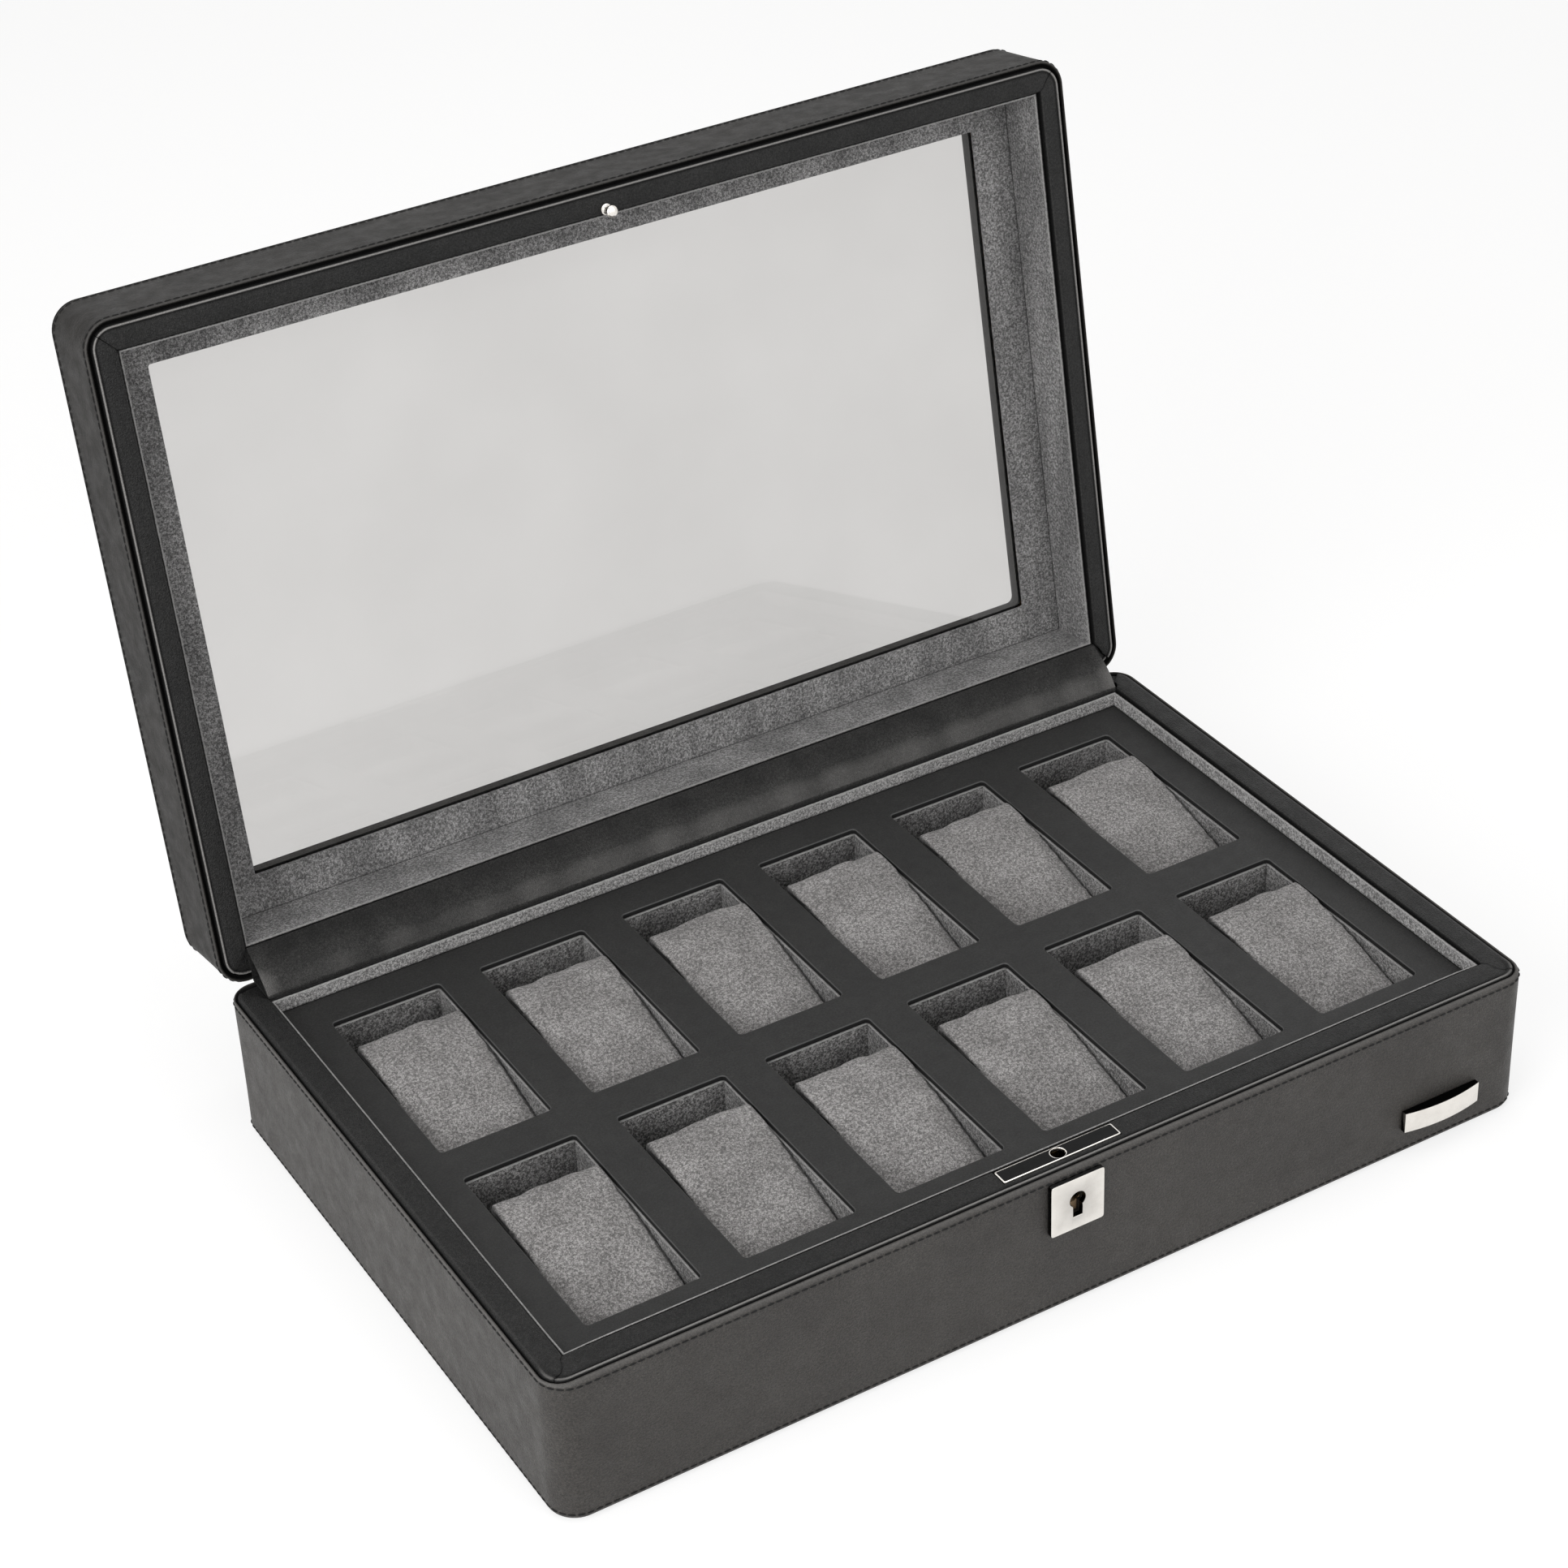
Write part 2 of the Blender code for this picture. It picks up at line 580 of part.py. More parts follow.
# ---- cushions --------------------------------------------------------------------------------
def cushion_profile():
    """Side view of a cushion, (y, z) from its foot, round from the front foot over the top."""
    front = -OPENING_LENGTH / 2 + WELL_LEDGE + CLEARANCE
    back = front + CUSHION_LENGTH
    height = TRAY_Z + CUSHION_TOP - WELL_Z - CLEARANCE
    front_top = height - CUSHION_FALL

    def crest(y):
        share = (back - y) / CUSHION_LENGTH
        return height - CUSHION_FALL * share**CUSHION_FALL_POWER

    foot, nose = CUSHION_FOOT_RADIUS, CUSHION_FRONT_RADIUS
    start = front + nose
    end = back - CUSHION_BACK_RADIUS
    points = arc((front + foot, foot), foot, 270, 180, 2)
    points += arc((start, front_top - nose + (crest(start) - front_top)), nose, 180, 105, 3)
    points += [(y, crest(y)) for y in (start + (end - start) * i / 6 for i in range(1, 7))]
    points += arc((end, crest(end) - CUSHION_BACK_RADIUS), CUSHION_BACK_RADIUS, 60, 0, 2)
    points += arc((back - foot, foot), foot, 0, -90, 2)
    return points


def cushion_mesh():
    """Pillow lofted across its width: crowned, with rounded side edges and drawn-in sides."""
    profile = cushion_profile()
    half = OPENING_WIDTH / 2 - WELL_LEDGE - CLEARANCE
    middle_y = sum(y for y, _ in profile) / len(profile)
    middle_z = sum(z for _, z in profile) / len(profile)
    length = max(y for y, _ in profile) - min(y for y, _ in profile)
    stations = (-1.0, -0.975, -0.90, -0.45, 0.0, 0.45, 0.90, 0.975, 1.0)
    insets = {1.0: CUSHION_EDGE, 0.975: CUSHION_EDGE * 0.3}
    bm = bmesh.new()
    loops = []
    for station in stations:
        pull = insets.get(abs(station), 0.0)
        loop = []
        for y, z in profile:
            share = (y - middle_y) / (length / 2)
            width = half - CUSHION_PULL * max(0.0, 1 - share * share)
            shrink_y = y - pull * max(-1.0, min(1.0, (y - middle_y) / (length / 4)))
            lift = CUSHION_CROWN * (1 - station * station) * (z / max(p[1] for p in profile)) ** 2
            sink = pull * max(0.0, min(1.0, (z - middle_z) / middle_z * 2))
            rise = pull * max(0.0, min(1.0, (middle_z - z) / middle_z * 2))
            loop.append(bm.verts.new((station * width, shrink_y, z + lift - sink + rise)))
        loops.append(loop)
    count = len(profile)
    for here, there in zip(loops, loops[1:]):
        for i in range(count):
            j = (i + 1) % count
            bm.faces.new((here[i], here[j], there[j], there[i]))
    for loop, sign in ((loops[0], -1), (loops[-1], 1)):
        centre = bm.verts.new((sign * half, middle_y, middle_z))
        for i in range(count):
            bm.faces.new((loop[i], loop[(i + 1) % count], centre))
    return finish_mesh(bm, "cushion")


def cushions():
    """One cushion in each well."""
    mesh = cushion_mesh()
    for x, y, word in wells():
        seat = (x, y, WELL_Z + CLEARANCE)
        place(f"cushion_{word}", mesh, "cushion_suede", location=seat, smooth=True)


# ---- lock ------------------------------------------------------------------------------------
def case_top():
    """Top of the lock's case, just under the lock plate."""
    return RIM_Z + LOCK_PLATE_PROUD - LOCK_PLATE - CLEARANCE


def lock_fixed_parts():
    """Lock plate, case with its cover and key pin, and the escutcheon."""
    half = LOCK_PLATE_LENGTH / 2
    near = LOCK_CENTRE_Y - LOCK_PLATE_WIDTH / 2
    far = LOCK_CENTRE_Y + LOCK_PLATE_WIDTH / 2
    low = RIM_Z + LOCK_PLATE_PROUD - LOCK_PLATE
    blank = box("lock_plate", (-half, near, low), (half, far, low + LOCK_PLATE))
    plate = place("lock_plate", blank, "dark_nickel")
    below, above = low - LOCK_PLATE, RIM_Z + RIM_STEP
    hole = cylinder("stud_hole", STUD_HOLE_RADIUS, below, above, "Z", (0.0, LOCK_CENTRE_Y))
    combine(plate, hole, "DIFFERENCE")
    soften(plate, PLATE_BEVEL)

    top = case_top()
    floor = top - CASE_HEIGHT
    front = LOCK_CENTRE_Y - CASE_DEPTH / 2
    back = LOCK_CENTRE_Y + CASE_DEPTH / 2 - CASE_WALL - CLEARANCE
    half = CASE_LENGTH / 2
    case = place("lock_case", box("lock_case", (-half, front, floor), (half, back, top)), "lock_steel")
    inside = box(
        "case_inside",
        (-half + CASE_WALL, front + CASE_WALL, floor + CASE_WALL),
        (half - CASE_WALL, back + CASE_WALL, top + CASE_WALL),
    )
    combine(case, inside, "DIFFERENCE")
    bearing = ROTOR_TUBE_RADIUS + CLEARANCE
    near, far = front - CASE_WALL, front + 2 * CASE_WALL
    window = cylinder("case_window", bearing, near, far, "Y", (0.0, KEY_Z))
    combine(case, window, "DIFFERENCE")

    cover_y = LOCK_CENTRE_Y + CASE_DEPTH / 2 - CASE_WALL
    sheet = box("lock_cover", (-half, cover_y, floor), (half, cover_y + CASE_WALL, top))
    cover = place("lock_cover", sheet, "lock_steel")
    root = cover_y + CASE_WALL / 2
    pin = cylinder("key_pin", KEY_PIN_RADIUS, FRONT_Y + LEATHER, root, "Y", (0.0, KEY_Z))
    combine(cover, pin, "UNION")

    centre_z = RIM_Z - ESCUTCHEON_DROP
    half = ESCUTCHEON / 2
    back = FRONT_Y - CLEARANCE
    front = back - ESCUTCHEON_THICKNESS
    shield = place(
        "escutcheon",
        box("escutcheon", (-half, front, centre_z - half), (half, back, centre_z + half)),
        "polished_steel",
    )
    keyhole = prism("keyhole", keyhole_outline(), front - LEATHER, back + LEATHER, "Y")
    combine(shield, keyhole, "DIFFERENCE")
    soften(shield, PLATE_BEVEL)


def lock_rotor():
    """Tube that the key turns, with a flange and the pin that drives the bolt."""
    flange_front = LOCK_CENTRE_Y - CASE_DEPTH / 2 + CASE_WALL + CLEARANCE
    flange_back = flange_front + ROTOR_FLANGE
    mouth = FRONT_Y + LEATHER
    web = flange_front + ROTOR_FLANGE / 2
    bore = KEY_PIN_RADIUS + CLEARANCE
    profile = [
        (bore, flange_back),
        (ROTOR_FLANGE_RADIUS, flange_back),
        (ROTOR_FLANGE_RADIUS, flange_front),
        (ROTOR_TUBE_RADIUS, flange_front),
        (ROTOR_TUBE_RADIUS, mouth),
        (ROTOR_BORE_RADIUS, mouth),
        (ROTOR_BORE_RADIUS, web),
        (bore, web),
    ]
    axis_y = LOCK_CENTRE_Y
    local = [(radius, y - axis_y) for radius, y in profile]
    rotor = place(
        "lock_rotor", turned("lock_rotor", local), "lock_steel", location=(0, axis_y, KEY_Z), smooth=True
    )
    slot = box(
        "bit_slot",
        (-ROTOR_SLOT / 2, mouth - axis_y - LEATHER, -ROTOR_TUBE_RADIUS - LEATHER),
        (ROTOR_SLOT / 2, web - axis_y, -bore),
    )
    combine(rotor, slot, "DIFFERENCE", location=(0, axis_y, KEY_Z))
    start = math.radians(90 + LOCK_TURN_DEG / 2)
    centre = (DRIVE_RADIUS * math.cos(start), DRIVE_RADIUS * math.sin(start))
    pin_low = flange_back - axis_y - ROTOR_FLANGE / 4
    pin_high = flange_back - axis_y + DRIVE_PIN_LENGTH
    pin = cylinder("drive_pin", DRIVE_PIN_RADIUS, pin_low, pin_high, "Y", centre, ROUND_STEPS // 2)
    combine(rotor, pin, "UNION", location=(0, axis_y, KEY_Z))


def lock_bolt():
    """Sliding catch: a hooked bar under the lock plate, and a leg with a fork round the drive pin."""
    top = case_top() - CLEARANCE
    low = top - BOLT_THICKNESS
    half_y = STUD_NECK_RADIUS + BOLT_PLAY + BOLT_PRONG
    tip = -STUD_HEAD_RADIUS - 2 * CLEARANCE
    tail = tip - BOLT_TAIL
    bar = box("lock_bolt", (tail, LOCK_CENTRE_Y - half_y, low), (tip, LOCK_CENTRE_Y + half_y, top))
    bolt = place("lock_bolt", bar, "lock_steel")
    gap = STUD_NECK_RADIUS + BOLT_PLAY
    hook = box(
        "hook",
        (tip - BOLT_TRAVEL, LOCK_CENTRE_Y - gap, low - LEATHER),
        (tip + LEATHER, LOCK_CENTRE_Y + gap, top + LEATHER),
    )
    combine(bolt, hook, "DIFFERENCE")

    flange_back = LOCK_CENTRE_Y - CASE_DEPTH / 2 + CASE_WALL + CLEARANCE + ROTOR_FLANGE
    leg_y = flange_back + CLEARANCE
    leg_back = leg_y + BOLT_THICKNESS
    start = math.radians(90 + LOCK_TURN_DEG / 2)
    pin_x = DRIVE_RADIUS * math.cos(start)
    fork = DRIVE_PIN_RADIUS + BOLT_PLAY
    arm_low = KEY_Z + KEY_PIN_RADIUS + CLEARANCE
    arm_high = max(arm_low + BOLT_ARM_HEIGHT, KEY_Z + DRIVE_RADIUS + fork + BOLT_THICKNESS)
    outline = [
        (tail, low + BOLT_THICKNESS / 2),
        (tail, arm_low),
        (pin_x - fork, arm_low),
        (pin_x - fork, KEY_Z + DRIVE_RADIUS + fork),
        (pin_x + fork, KEY_Z + DRIVE_RADIUS + fork),
        (pin_x + fork, arm_low),
        (pin_x + fork + BOLT_THICKNESS, arm_low),
        (pin_x + fork + BOLT_THICKNESS, arm_high),
        (tail + BOLT_LEG_WIDTH, arm_high),
        (tail + BOLT_LEG_WIDTH, low + BOLT_THICKNESS / 2),
    ]
    leg = prism("bolt_leg", outline, leg_y, leg_back, "Y")
    combine(bolt, leg, "UNION")


def nameplate():
    """Bare bright plate with a flat back on the front leather and a face bowed outwards."""
    half = NAMEPLATE_LENGTH / 2
    radius = (half * half + NAMEPLATE_BOW * NAMEPLATE_BOW) / (2 * NAMEPLATE_BOW)
    spread = math.degrees(math.asin(half / radius))
    seat = FRONT_Y - CLEARANCE
    centre = (WIDTH / 2 - NAMEPLATE_INSET, seat - NAMEPLATE_BOW + radius - NAMEPLATE_THICKNESS)
    face = arc(centre, radius, 270 - spread, 270 + spread, 12)
    back = [(centre[0] + half, seat), (centre[0] - half, seat)]
    low, high = NAMEPLATE_Z - NAMEPLATE_HEIGHT / 2, NAMEPLATE_Z + NAMEPLATE_HEIGHT / 2
    plate = place("nameplate", prism("nameplate", face + back, low, high), "polished_steel")
    soften(plate, PLATE_BEVEL / 2)


# ---- hinge -----------------------------------------------------------------------------------
def fold_radius():
    """Largest fold that clears both rounded rear edges by the clearance."""
    side = COVER_INSET + RIM_ROUNDING - HINGE_INSET
    drop = RIM_ROUNDING + REAR_RIM_DROP + CLOSED_GAP / 2
    return math.hypot(side, drop) - RIM_ROUNDING - CLEARANCE


def hinge_base_parts():
    """Hinge leather on the base: the fold on the hinge axis and the leaf glued to the rear rim."""
    half = HINGE_LENGTH / 2
    radius = min(fold_radius(), 2 * HINGE_LEATHER)
    fold = prism("hinge_fold", arc((HINGE_Y, HINGE_Z), radius, 0, 330, 11), -half, half, "X")
    place("hinge_fold", fold, "hinge_leather", smooth=True)
    low = RIM_Z - REAR_RIM_DROP + CLEARANCE
    inner = REAR_Y - BASE_RIM_REAR + CLEARANCE
    outer = HINGE_Y - radius - CLEARANCE
    leaf = box("hinge_leaf_base", (-half, inner, low), (half, outer, low + HINGE_LEATHER))
    place("hinge_leaf_base", leaf, "hinge_leather")
    return radius


def hinge_flap():
    """Gusset from the inner edge of the base's rear rim to that of the lid's, at rest, lid open."""
    leaf_top = RIM_Z - REAR_RIM_DROP + CLEARANCE + HINGE_LEATHER
    start = Vector((REAR_Y - BASE_RIM_REAR + FLAP_LEATHER, leaf_top + CLEARANCE + FLAP_LEATHER / 2))
    leaf_low = LID_RIM_Z + REAR_RIM_DROP - CLEARANCE - HINGE_LEATHER
    shut = Vector((REAR_Y - LID_RIM_REAR + FLAP_LEATHER, leaf_low - CLEARANCE - FLAP_LEATHER / 2))
    turn = Matrix.Rotation(-math.radians(LID_OPEN_DEG), 2)
    axis = Vector((HINGE_Y, HINGE_Z))
    end = axis + turn @ (shut - axis)
    along = end - start
    inward = Vector((-along.y, along.x)).normalized()
    centre_line = []
    for i in range(FLAP_STEPS + 1):
        share = i / FLAP_STEPS
        centre_line.append(start + along * share + inward * FLAP_BULGE * math.sin(math.pi * share))
    half_thick = inward * FLAP_LEATHER / 2
    outline = [tuple(p + half_thick) for p in centre_line]
    outline += [tuple(p - half_thick) for p in reversed(centre_line)]
    half = HINGE_LENGTH / 2
    place("hinge_flap", prism("hinge_flap", outline, -half, half, "X"), "hinge_leather")


# ---- lid -------------------------------------------------------------------------------------
def to_axis(mesh):
    """Move a mesh modelled in the shut position so that its origin is on the hinge axis."""
    mesh.transform(Matrix.Translation((0, -HINGE_Y, -HINGE_Z)))
    return mesh


def lid_carcass(pivot):
    """Four mitred wall boards, the top panel and its leather, and the window's frame and glass."""
    frame = Frame(
        COVER_INSET, LID_RIM_SIDE - CLEARANCE, LID_RIM_FRONT - CLEARANCE, LID_RIM_REAR - CLEARANCE
    )
    outside = LID_RIM_Z + LID_HEIGHT
    panel_top = outside - LEATHER - CLEARANCE
    panel_low = panel_top - TOP_PANEL
    board_top = panel_low - CLEARANCE
    for index, word in enumerate(Frame.SIDES):
        drop = REAR_RIM_DROP if word == "rear" else 0.0
        low = LID_RIM_Z + RIM_LEATHER + CLEARANCE + drop
        mesh = frame.length(f"lid_{word}_board", index, [(0.0, low), (0.0, board_top)])
        place(f"lid_{word}_board", to_axis(mesh), "board", pivot)

    opening = window_outline(COVER_INSET, WINDOW_RADIUS + COVER_INSET, CORNER_STEPS)
    outline = offset_outline(COVER_INSET)
    rails = [(outline, panel_low), (outline, panel_top), (opening, panel_top), (opening, panel_low)]
    place("lid_top_panel", to_axis(ring("lid_top_panel", rails)), "board", pivot)

    glass_top = panel_low - CLEARANCE
    cut = window_outline(GLASS_SEAT, OPENING_RADIUS, SMALL_CORNER_STEPS)
    glass = prism("glass_pane", cut, glass_top - GLASS, glass_top)
    place("glass_pane", to_axis(glass), "glass", pivot)

    frame_top = glass_top - GLASS - CLEARANCE
    frame_low = frame_top - WINDOW_FRAME
    outer = inner_outline(LID_RIM_SIDE, LID_RIM_FRONT, LID_RIM_REAR)
    inner = window_outline(0.0, 0.0008, SMALL_CORNER_STEPS)
    rails = [(outer, frame_low), (outer, frame_top), (inner, frame_top), (inner, frame_low)]
    place("window_frame", to_axis(ring("window_frame", rails)), "suede", pivot)
    return panel_low, panel_top, frame_low


def lid_coverings(pivot, panel_low, panel_top, frame_low):
    """Side leather, top leather with its lip, mitred rim leathers and the suede on the walls."""
    low = LID_RIM_Z + RIM_STEP
    section = arc((LEATHER / 2, low + LEATHER / 2), LEATHER / 2, 180, 360, 2 * ROLL_STEPS)
    section += [(LEATHER, panel_top), (0.0, panel_top)]
    side = ring("lid_side_leather", [(offset_outline(inset), z) for inset, z in section])
    place("lid_side_leather", to_axis(side), "smooth_leather", pivot)

    sheet_low = panel_top + CLEARANCE
    sheet_top = LID_RIM_Z + LID_HEIGHT
    lip = panel_low + CLEARANCE
    window = window_outline(0.0, WINDOW_RADIUS, CORNER_STEPS)
    folded = window_outline(LEATHER, WINDOW_RADIUS + LEATHER, CORNER_STEPS)
    roll = arc((TOP_EDGE_RADIUS, sheet_top - TOP_EDGE_RADIUS), TOP_EDGE_RADIUS, 180, 90, ROLL_STEPS)
    rails = [(offset_outline(0.0), sheet_low)]
    rails += [(offset_outline(inset), z) for inset, z in roll]
    rails += [(window, sheet_top), (window, lip), (folded, lip), (folded, sheet_low)]
    place("lid_top_leather", to_axis(ring("lid_top_leather", rails)), "smooth_leather", pivot)

    frame = Frame(
        COVER_INSET, LID_RIM_SIDE - CLEARANCE, LID_RIM_FRONT - CLEARANCE, LID_RIM_REAR - CLEARANCE
    )
    for index, word in enumerate(Frame.SIDES):
        drop = REAR_RIM_DROP if word == "rear" else 0.0
        section = rim_section(LID_RIM_Z + drop, LID_RIM_Z + drop + RIM_LEATHER, upside_down=True)
        mesh = frame.length(f"lid_rim_leather_{word}", index, section)
        place(f"lid_rim_leather_{word}", to_axis(mesh), "rim_leather", pivot)

    outer = (LID_RIM_SIDE, LID_RIM_FRONT, LID_RIM_REAR)
    inner = tuple(width + SUEDE for width in outer)
    low, high = LID_RIM_Z + REAR_RIM_DROP + LINING_STEP, frame_low - CLEARANCE
    rails = [
        (inner_outline(*outer), low),
        (inner_outline(*outer), high),
        (inner_outline(*inner), high),
        (inner_outline(*inner), low),
    ]
    place("lid_wall_lining", to_axis(ring("lid_wall_lining", rails)), "suede", pivot)


def lid_fittings(pivot, radius):
    """The stud that the lock catches, and the hinge leaf glued to the lid's rear rim."""
    top = LID_RIM_Z - CLEARANCE
    neck = top - STUD_NECK_LENGTH
    profile = [(0.0, top), (STUD_NECK_RADIUS, top), (STUD_NECK_RADIUS, neck)]
    profile += [(STUD_HEAD_RADIUS, neck)]
    head_arc = arc((STUD_HEAD_RADIUS / 2, neck - STUD_HEAD_LENGTH / 2), STUD_HEAD_LENGTH / 2, 0, -90, 3)
    profile += [(r + STUD_HEAD_RADIUS / 2 - STUD_HEAD_LENGTH / 2, z) for r, z in head_arc]
    profile += [(0.0, neck - STUD_HEAD_LENGTH)]
    bm = bmesh.new()
    verts = [bm.verts.new((r, LOCK_CENTRE_Y, z)) for r, z in profile]
    edges = [bm.edges.new(pair) for pair in zip(verts, verts[1:])]
    bmesh.ops.spin(
        bm,
        geom=verts + edges,
        cent=(0, LOCK_CENTRE_Y, 0),
        axis=(0, 0, 1),
        angle=2 * math.pi,
        steps=ROUND_STEPS,
        use_merge=True,
    )
    bmesh.ops.remove_doubles(bm, verts=bm.verts, dist=CLEARANCE / 100)
    stud = finish_mesh(bm, "lid_stud")
    place("lid_stud", to_axis(stud), "polished_steel", pivot, smooth=True)

    half = HINGE_LENGTH / 2
    high = LID_RIM_Z + REAR_RIM_DROP - CLEARANCE
    inner = REAR_Y - LID_RIM_REAR + CLEARANCE
    outer = HINGE_Y - radius - CLEARANCE
    leaf = box("hinge_leaf_lid", (-half, inner, high - HINGE_LEATHER), (half, outer, high))
    place("hinge_leaf_lid", to_axis(leaf), "hinge_leather", pivot)


def lid(radius):
    """The lid, carried by an empty on the hinge axis that holds it open."""
    pivot = bpy.data.objects.new("lid_pivot", None)
    bpy.context.scene.collection.objects.link(pivot)
    pivot.location = (0, HINGE_Y, HINGE_Z)
    pivot.rotation_euler = (-math.radians(LID_OPEN_DEG), 0, 0)
    levels = lid_carcass(pivot)
    lid_coverings(pivot, *levels)
    lid_fittings(pivot, radius)


def main():
    """Clear the scene and build the watch box."""
    for item in list(bpy.data.objects):
        bpy.data.objects.remove(item, do_unlink=True)
    base_carcass()
    base_coverings()
    tray()
    cushions()
    lock_fixed_parts()
    lock_rotor()
    lock_bolt()
    nameplate()
    radius = hinge_base_parts()
    hinge_flap()
    lid(radius)


main()
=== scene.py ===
"""Looks of the watch box for twelve watches, set over its CAD frame.

Surfaces are worked out in millimetres with numpy, in the part's own frame: +Z up, the lock facing
-Y, the hinge along X at the rear. Pieces of the lid are shaped with the lid shut and then turned
open about the hinge, as the part rests.
"""

from __future__ import annotations

import json
import logging
import math
from dataclasses import dataclass, field
from enum import Enum
from typing import Sequence

import bmesh
import bpy
import numpy as np
from mathutils import Matrix

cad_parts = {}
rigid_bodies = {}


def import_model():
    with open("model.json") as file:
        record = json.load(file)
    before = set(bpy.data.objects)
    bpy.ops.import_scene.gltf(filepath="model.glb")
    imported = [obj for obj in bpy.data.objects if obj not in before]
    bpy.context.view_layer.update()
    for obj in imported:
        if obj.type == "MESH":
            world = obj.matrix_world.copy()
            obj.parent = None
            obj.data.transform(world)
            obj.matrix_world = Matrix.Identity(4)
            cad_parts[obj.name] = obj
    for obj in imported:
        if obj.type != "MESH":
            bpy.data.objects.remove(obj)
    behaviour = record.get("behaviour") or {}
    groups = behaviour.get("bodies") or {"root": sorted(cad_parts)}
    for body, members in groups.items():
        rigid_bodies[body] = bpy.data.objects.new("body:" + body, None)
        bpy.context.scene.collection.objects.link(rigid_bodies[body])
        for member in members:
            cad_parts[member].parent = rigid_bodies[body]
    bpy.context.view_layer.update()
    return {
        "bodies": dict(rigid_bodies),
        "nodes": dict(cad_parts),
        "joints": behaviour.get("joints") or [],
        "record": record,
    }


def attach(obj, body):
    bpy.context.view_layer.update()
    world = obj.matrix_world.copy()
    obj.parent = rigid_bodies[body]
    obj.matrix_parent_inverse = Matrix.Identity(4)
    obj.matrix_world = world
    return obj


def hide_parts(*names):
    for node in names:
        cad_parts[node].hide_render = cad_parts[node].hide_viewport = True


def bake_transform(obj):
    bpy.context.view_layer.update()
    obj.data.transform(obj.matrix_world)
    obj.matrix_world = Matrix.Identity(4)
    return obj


LOG = logging.getLogger("watch_box")
Array = np.ndarray
Socket = bpy.types.NodeSocket
Mesh = bpy.types.Mesh
Material = bpy.types.Material
Colour = tuple[float, float, float]
MM = 0.001
QUARTER = math.pi / 4


class Side(Enum):
    """The four sides of the case, in the order of a walk round it."""

    FRONT = 0
    RIGHT = 1
    REAR = 2
    LEFT = 3


class Slot(Enum):
    """Material slots of the part's record."""

    SMOOTH_LEATHER = "smooth_leather"
    RIM_LEATHER = "rim_leather"
    TRAY_LEATHER = "tray_leather"
    HINGE_LEATHER = "hinge_leather"
    SUEDE = "suede"
    CUSHION_SUEDE = "cushion_suede"
    BOARD = "board"
    FELT = "felt"
    GLASS = "glass"
    POLISHED_STEEL = "polished_steel"
    DARK_NICKEL = "dark_nickel"
    LOCK_STEEL = "lock_steel"


# ---- surfaces --------------------------------------------------------------------------------
@dataclass
class Surface:
    """A shape as points in millimetres and faces, with a tone for each point.

    The tone runs from -1, painted shade in a crease or gap, over 0 to 1, a pale cut edge of
    suede or a painted highlight on a leather bead or roll.
    """

    points: Array
    faces: list[tuple[int, ...]]
    tone: Array

    @classmethod
    def from_grid(
        cls,
        grid: Array,
        wrap_rows: bool = False,
        wrap_columns: bool = False,
        cap_columns: bool = False,
        cap_rows: bool = False,
        tone: Array | None = None,
    ) -> "Surface":
        """Quads between neighbouring rows and columns of a grid of points.

        Args:
            grid: points, shaped rows by columns by three.
            wrap_rows: join the last row to the first.
            wrap_columns: join the last column to the first.
            cap_columns: close the first and the last column with one face each.
            cap_rows: close the first and the last row with one face each.
            tone: one number for each row, or for each point, or none.

        Returns:
            The surface.
        """
        rows, columns = grid.shape[:2]
        numbers = np.arange(rows * columns).reshape(rows, columns)
        down = np.vstack([numbers, numbers[:1]]) if wrap_rows else numbers
        full = np.hstack([down, down[:, :1]]) if wrap_columns else down
        quads = np.stack([full[:-1, :-1], full[:-1, 1:], full[1:, 1:], full[1:, :-1]], axis=-1)
        faces = [tuple(quad) for quad in quads.reshape(-1, 4).tolist()]
        if cap_columns:
            faces += [tuple(numbers[:, 0].tolist()), tuple(numbers[::-1, -1].tolist())]
        if cap_rows:
            faces += [tuple(numbers[0].tolist()), tuple(numbers[-1, ::-1].tolist())]
        shade = np.zeros((rows, 1)) if tone is None else np.asarray(tone, float).reshape(rows, -1)
        return cls(grid.reshape(-1, 3), faces, np.broadcast_to(shade, (rows, columns)).ravel())

    @classmethod
    def joined(cls, parts: Sequence["Surface"]) -> "Surface":
        """Several surfaces as one, side by side."""
        faces: list[tuple[int, ...]] = []
        offset = 0
        for part in parts:
            faces += [tuple(index + offset for index in face) for face in part.faces]
            offset += len(part.points)
        points = np.vstack([part.points for part in parts])
        return cls(points, faces, np.concatenate([part.tone for part in parts]))

    def mesh(self, name: str, sharp_degrees: float = 40.0, merge: float = 1e-4) -> Mesh:
        """Put the surface into a mesh, in metres, with its faces pointing outwards.

        Args:
            name: the mesh's name.
            sharp_degrees: edges that bend more than this stay sharp.
            merge: points closer than this, in millimetres, become one.

        Returns:
            The mesh, smooth shaded, with the point attribute tone.
        """
        mesh = bpy.data.meshes.new(name)
        mesh.from_pydata((self.points * MM).tolist(), [], self.faces)
        give_tone(mesh, self.tone)
        work = bmesh.new()
        work.from_mesh(mesh)
        bmesh.ops.remove_doubles(work, verts=work.verts, dist=merge * MM)
        bmesh.ops.recalc_face_normals(work, faces=work.faces)
        work.to_mesh(mesh)
        work.free()
        mesh.shade_smooth()
        mesh.set_sharp_from_angle(angle=math.radians(sharp_degrees))
        return mesh


def give_tone(mesh: Mesh, tone: Array) -> None:
    """Write one tone for each point into the mesh."""
    held = mesh.attributes.get("tone") or mesh.attributes.new("tone", "FLOAT", "POINT")
    held.data.foreach_set("value", tone.astype(np.float32))


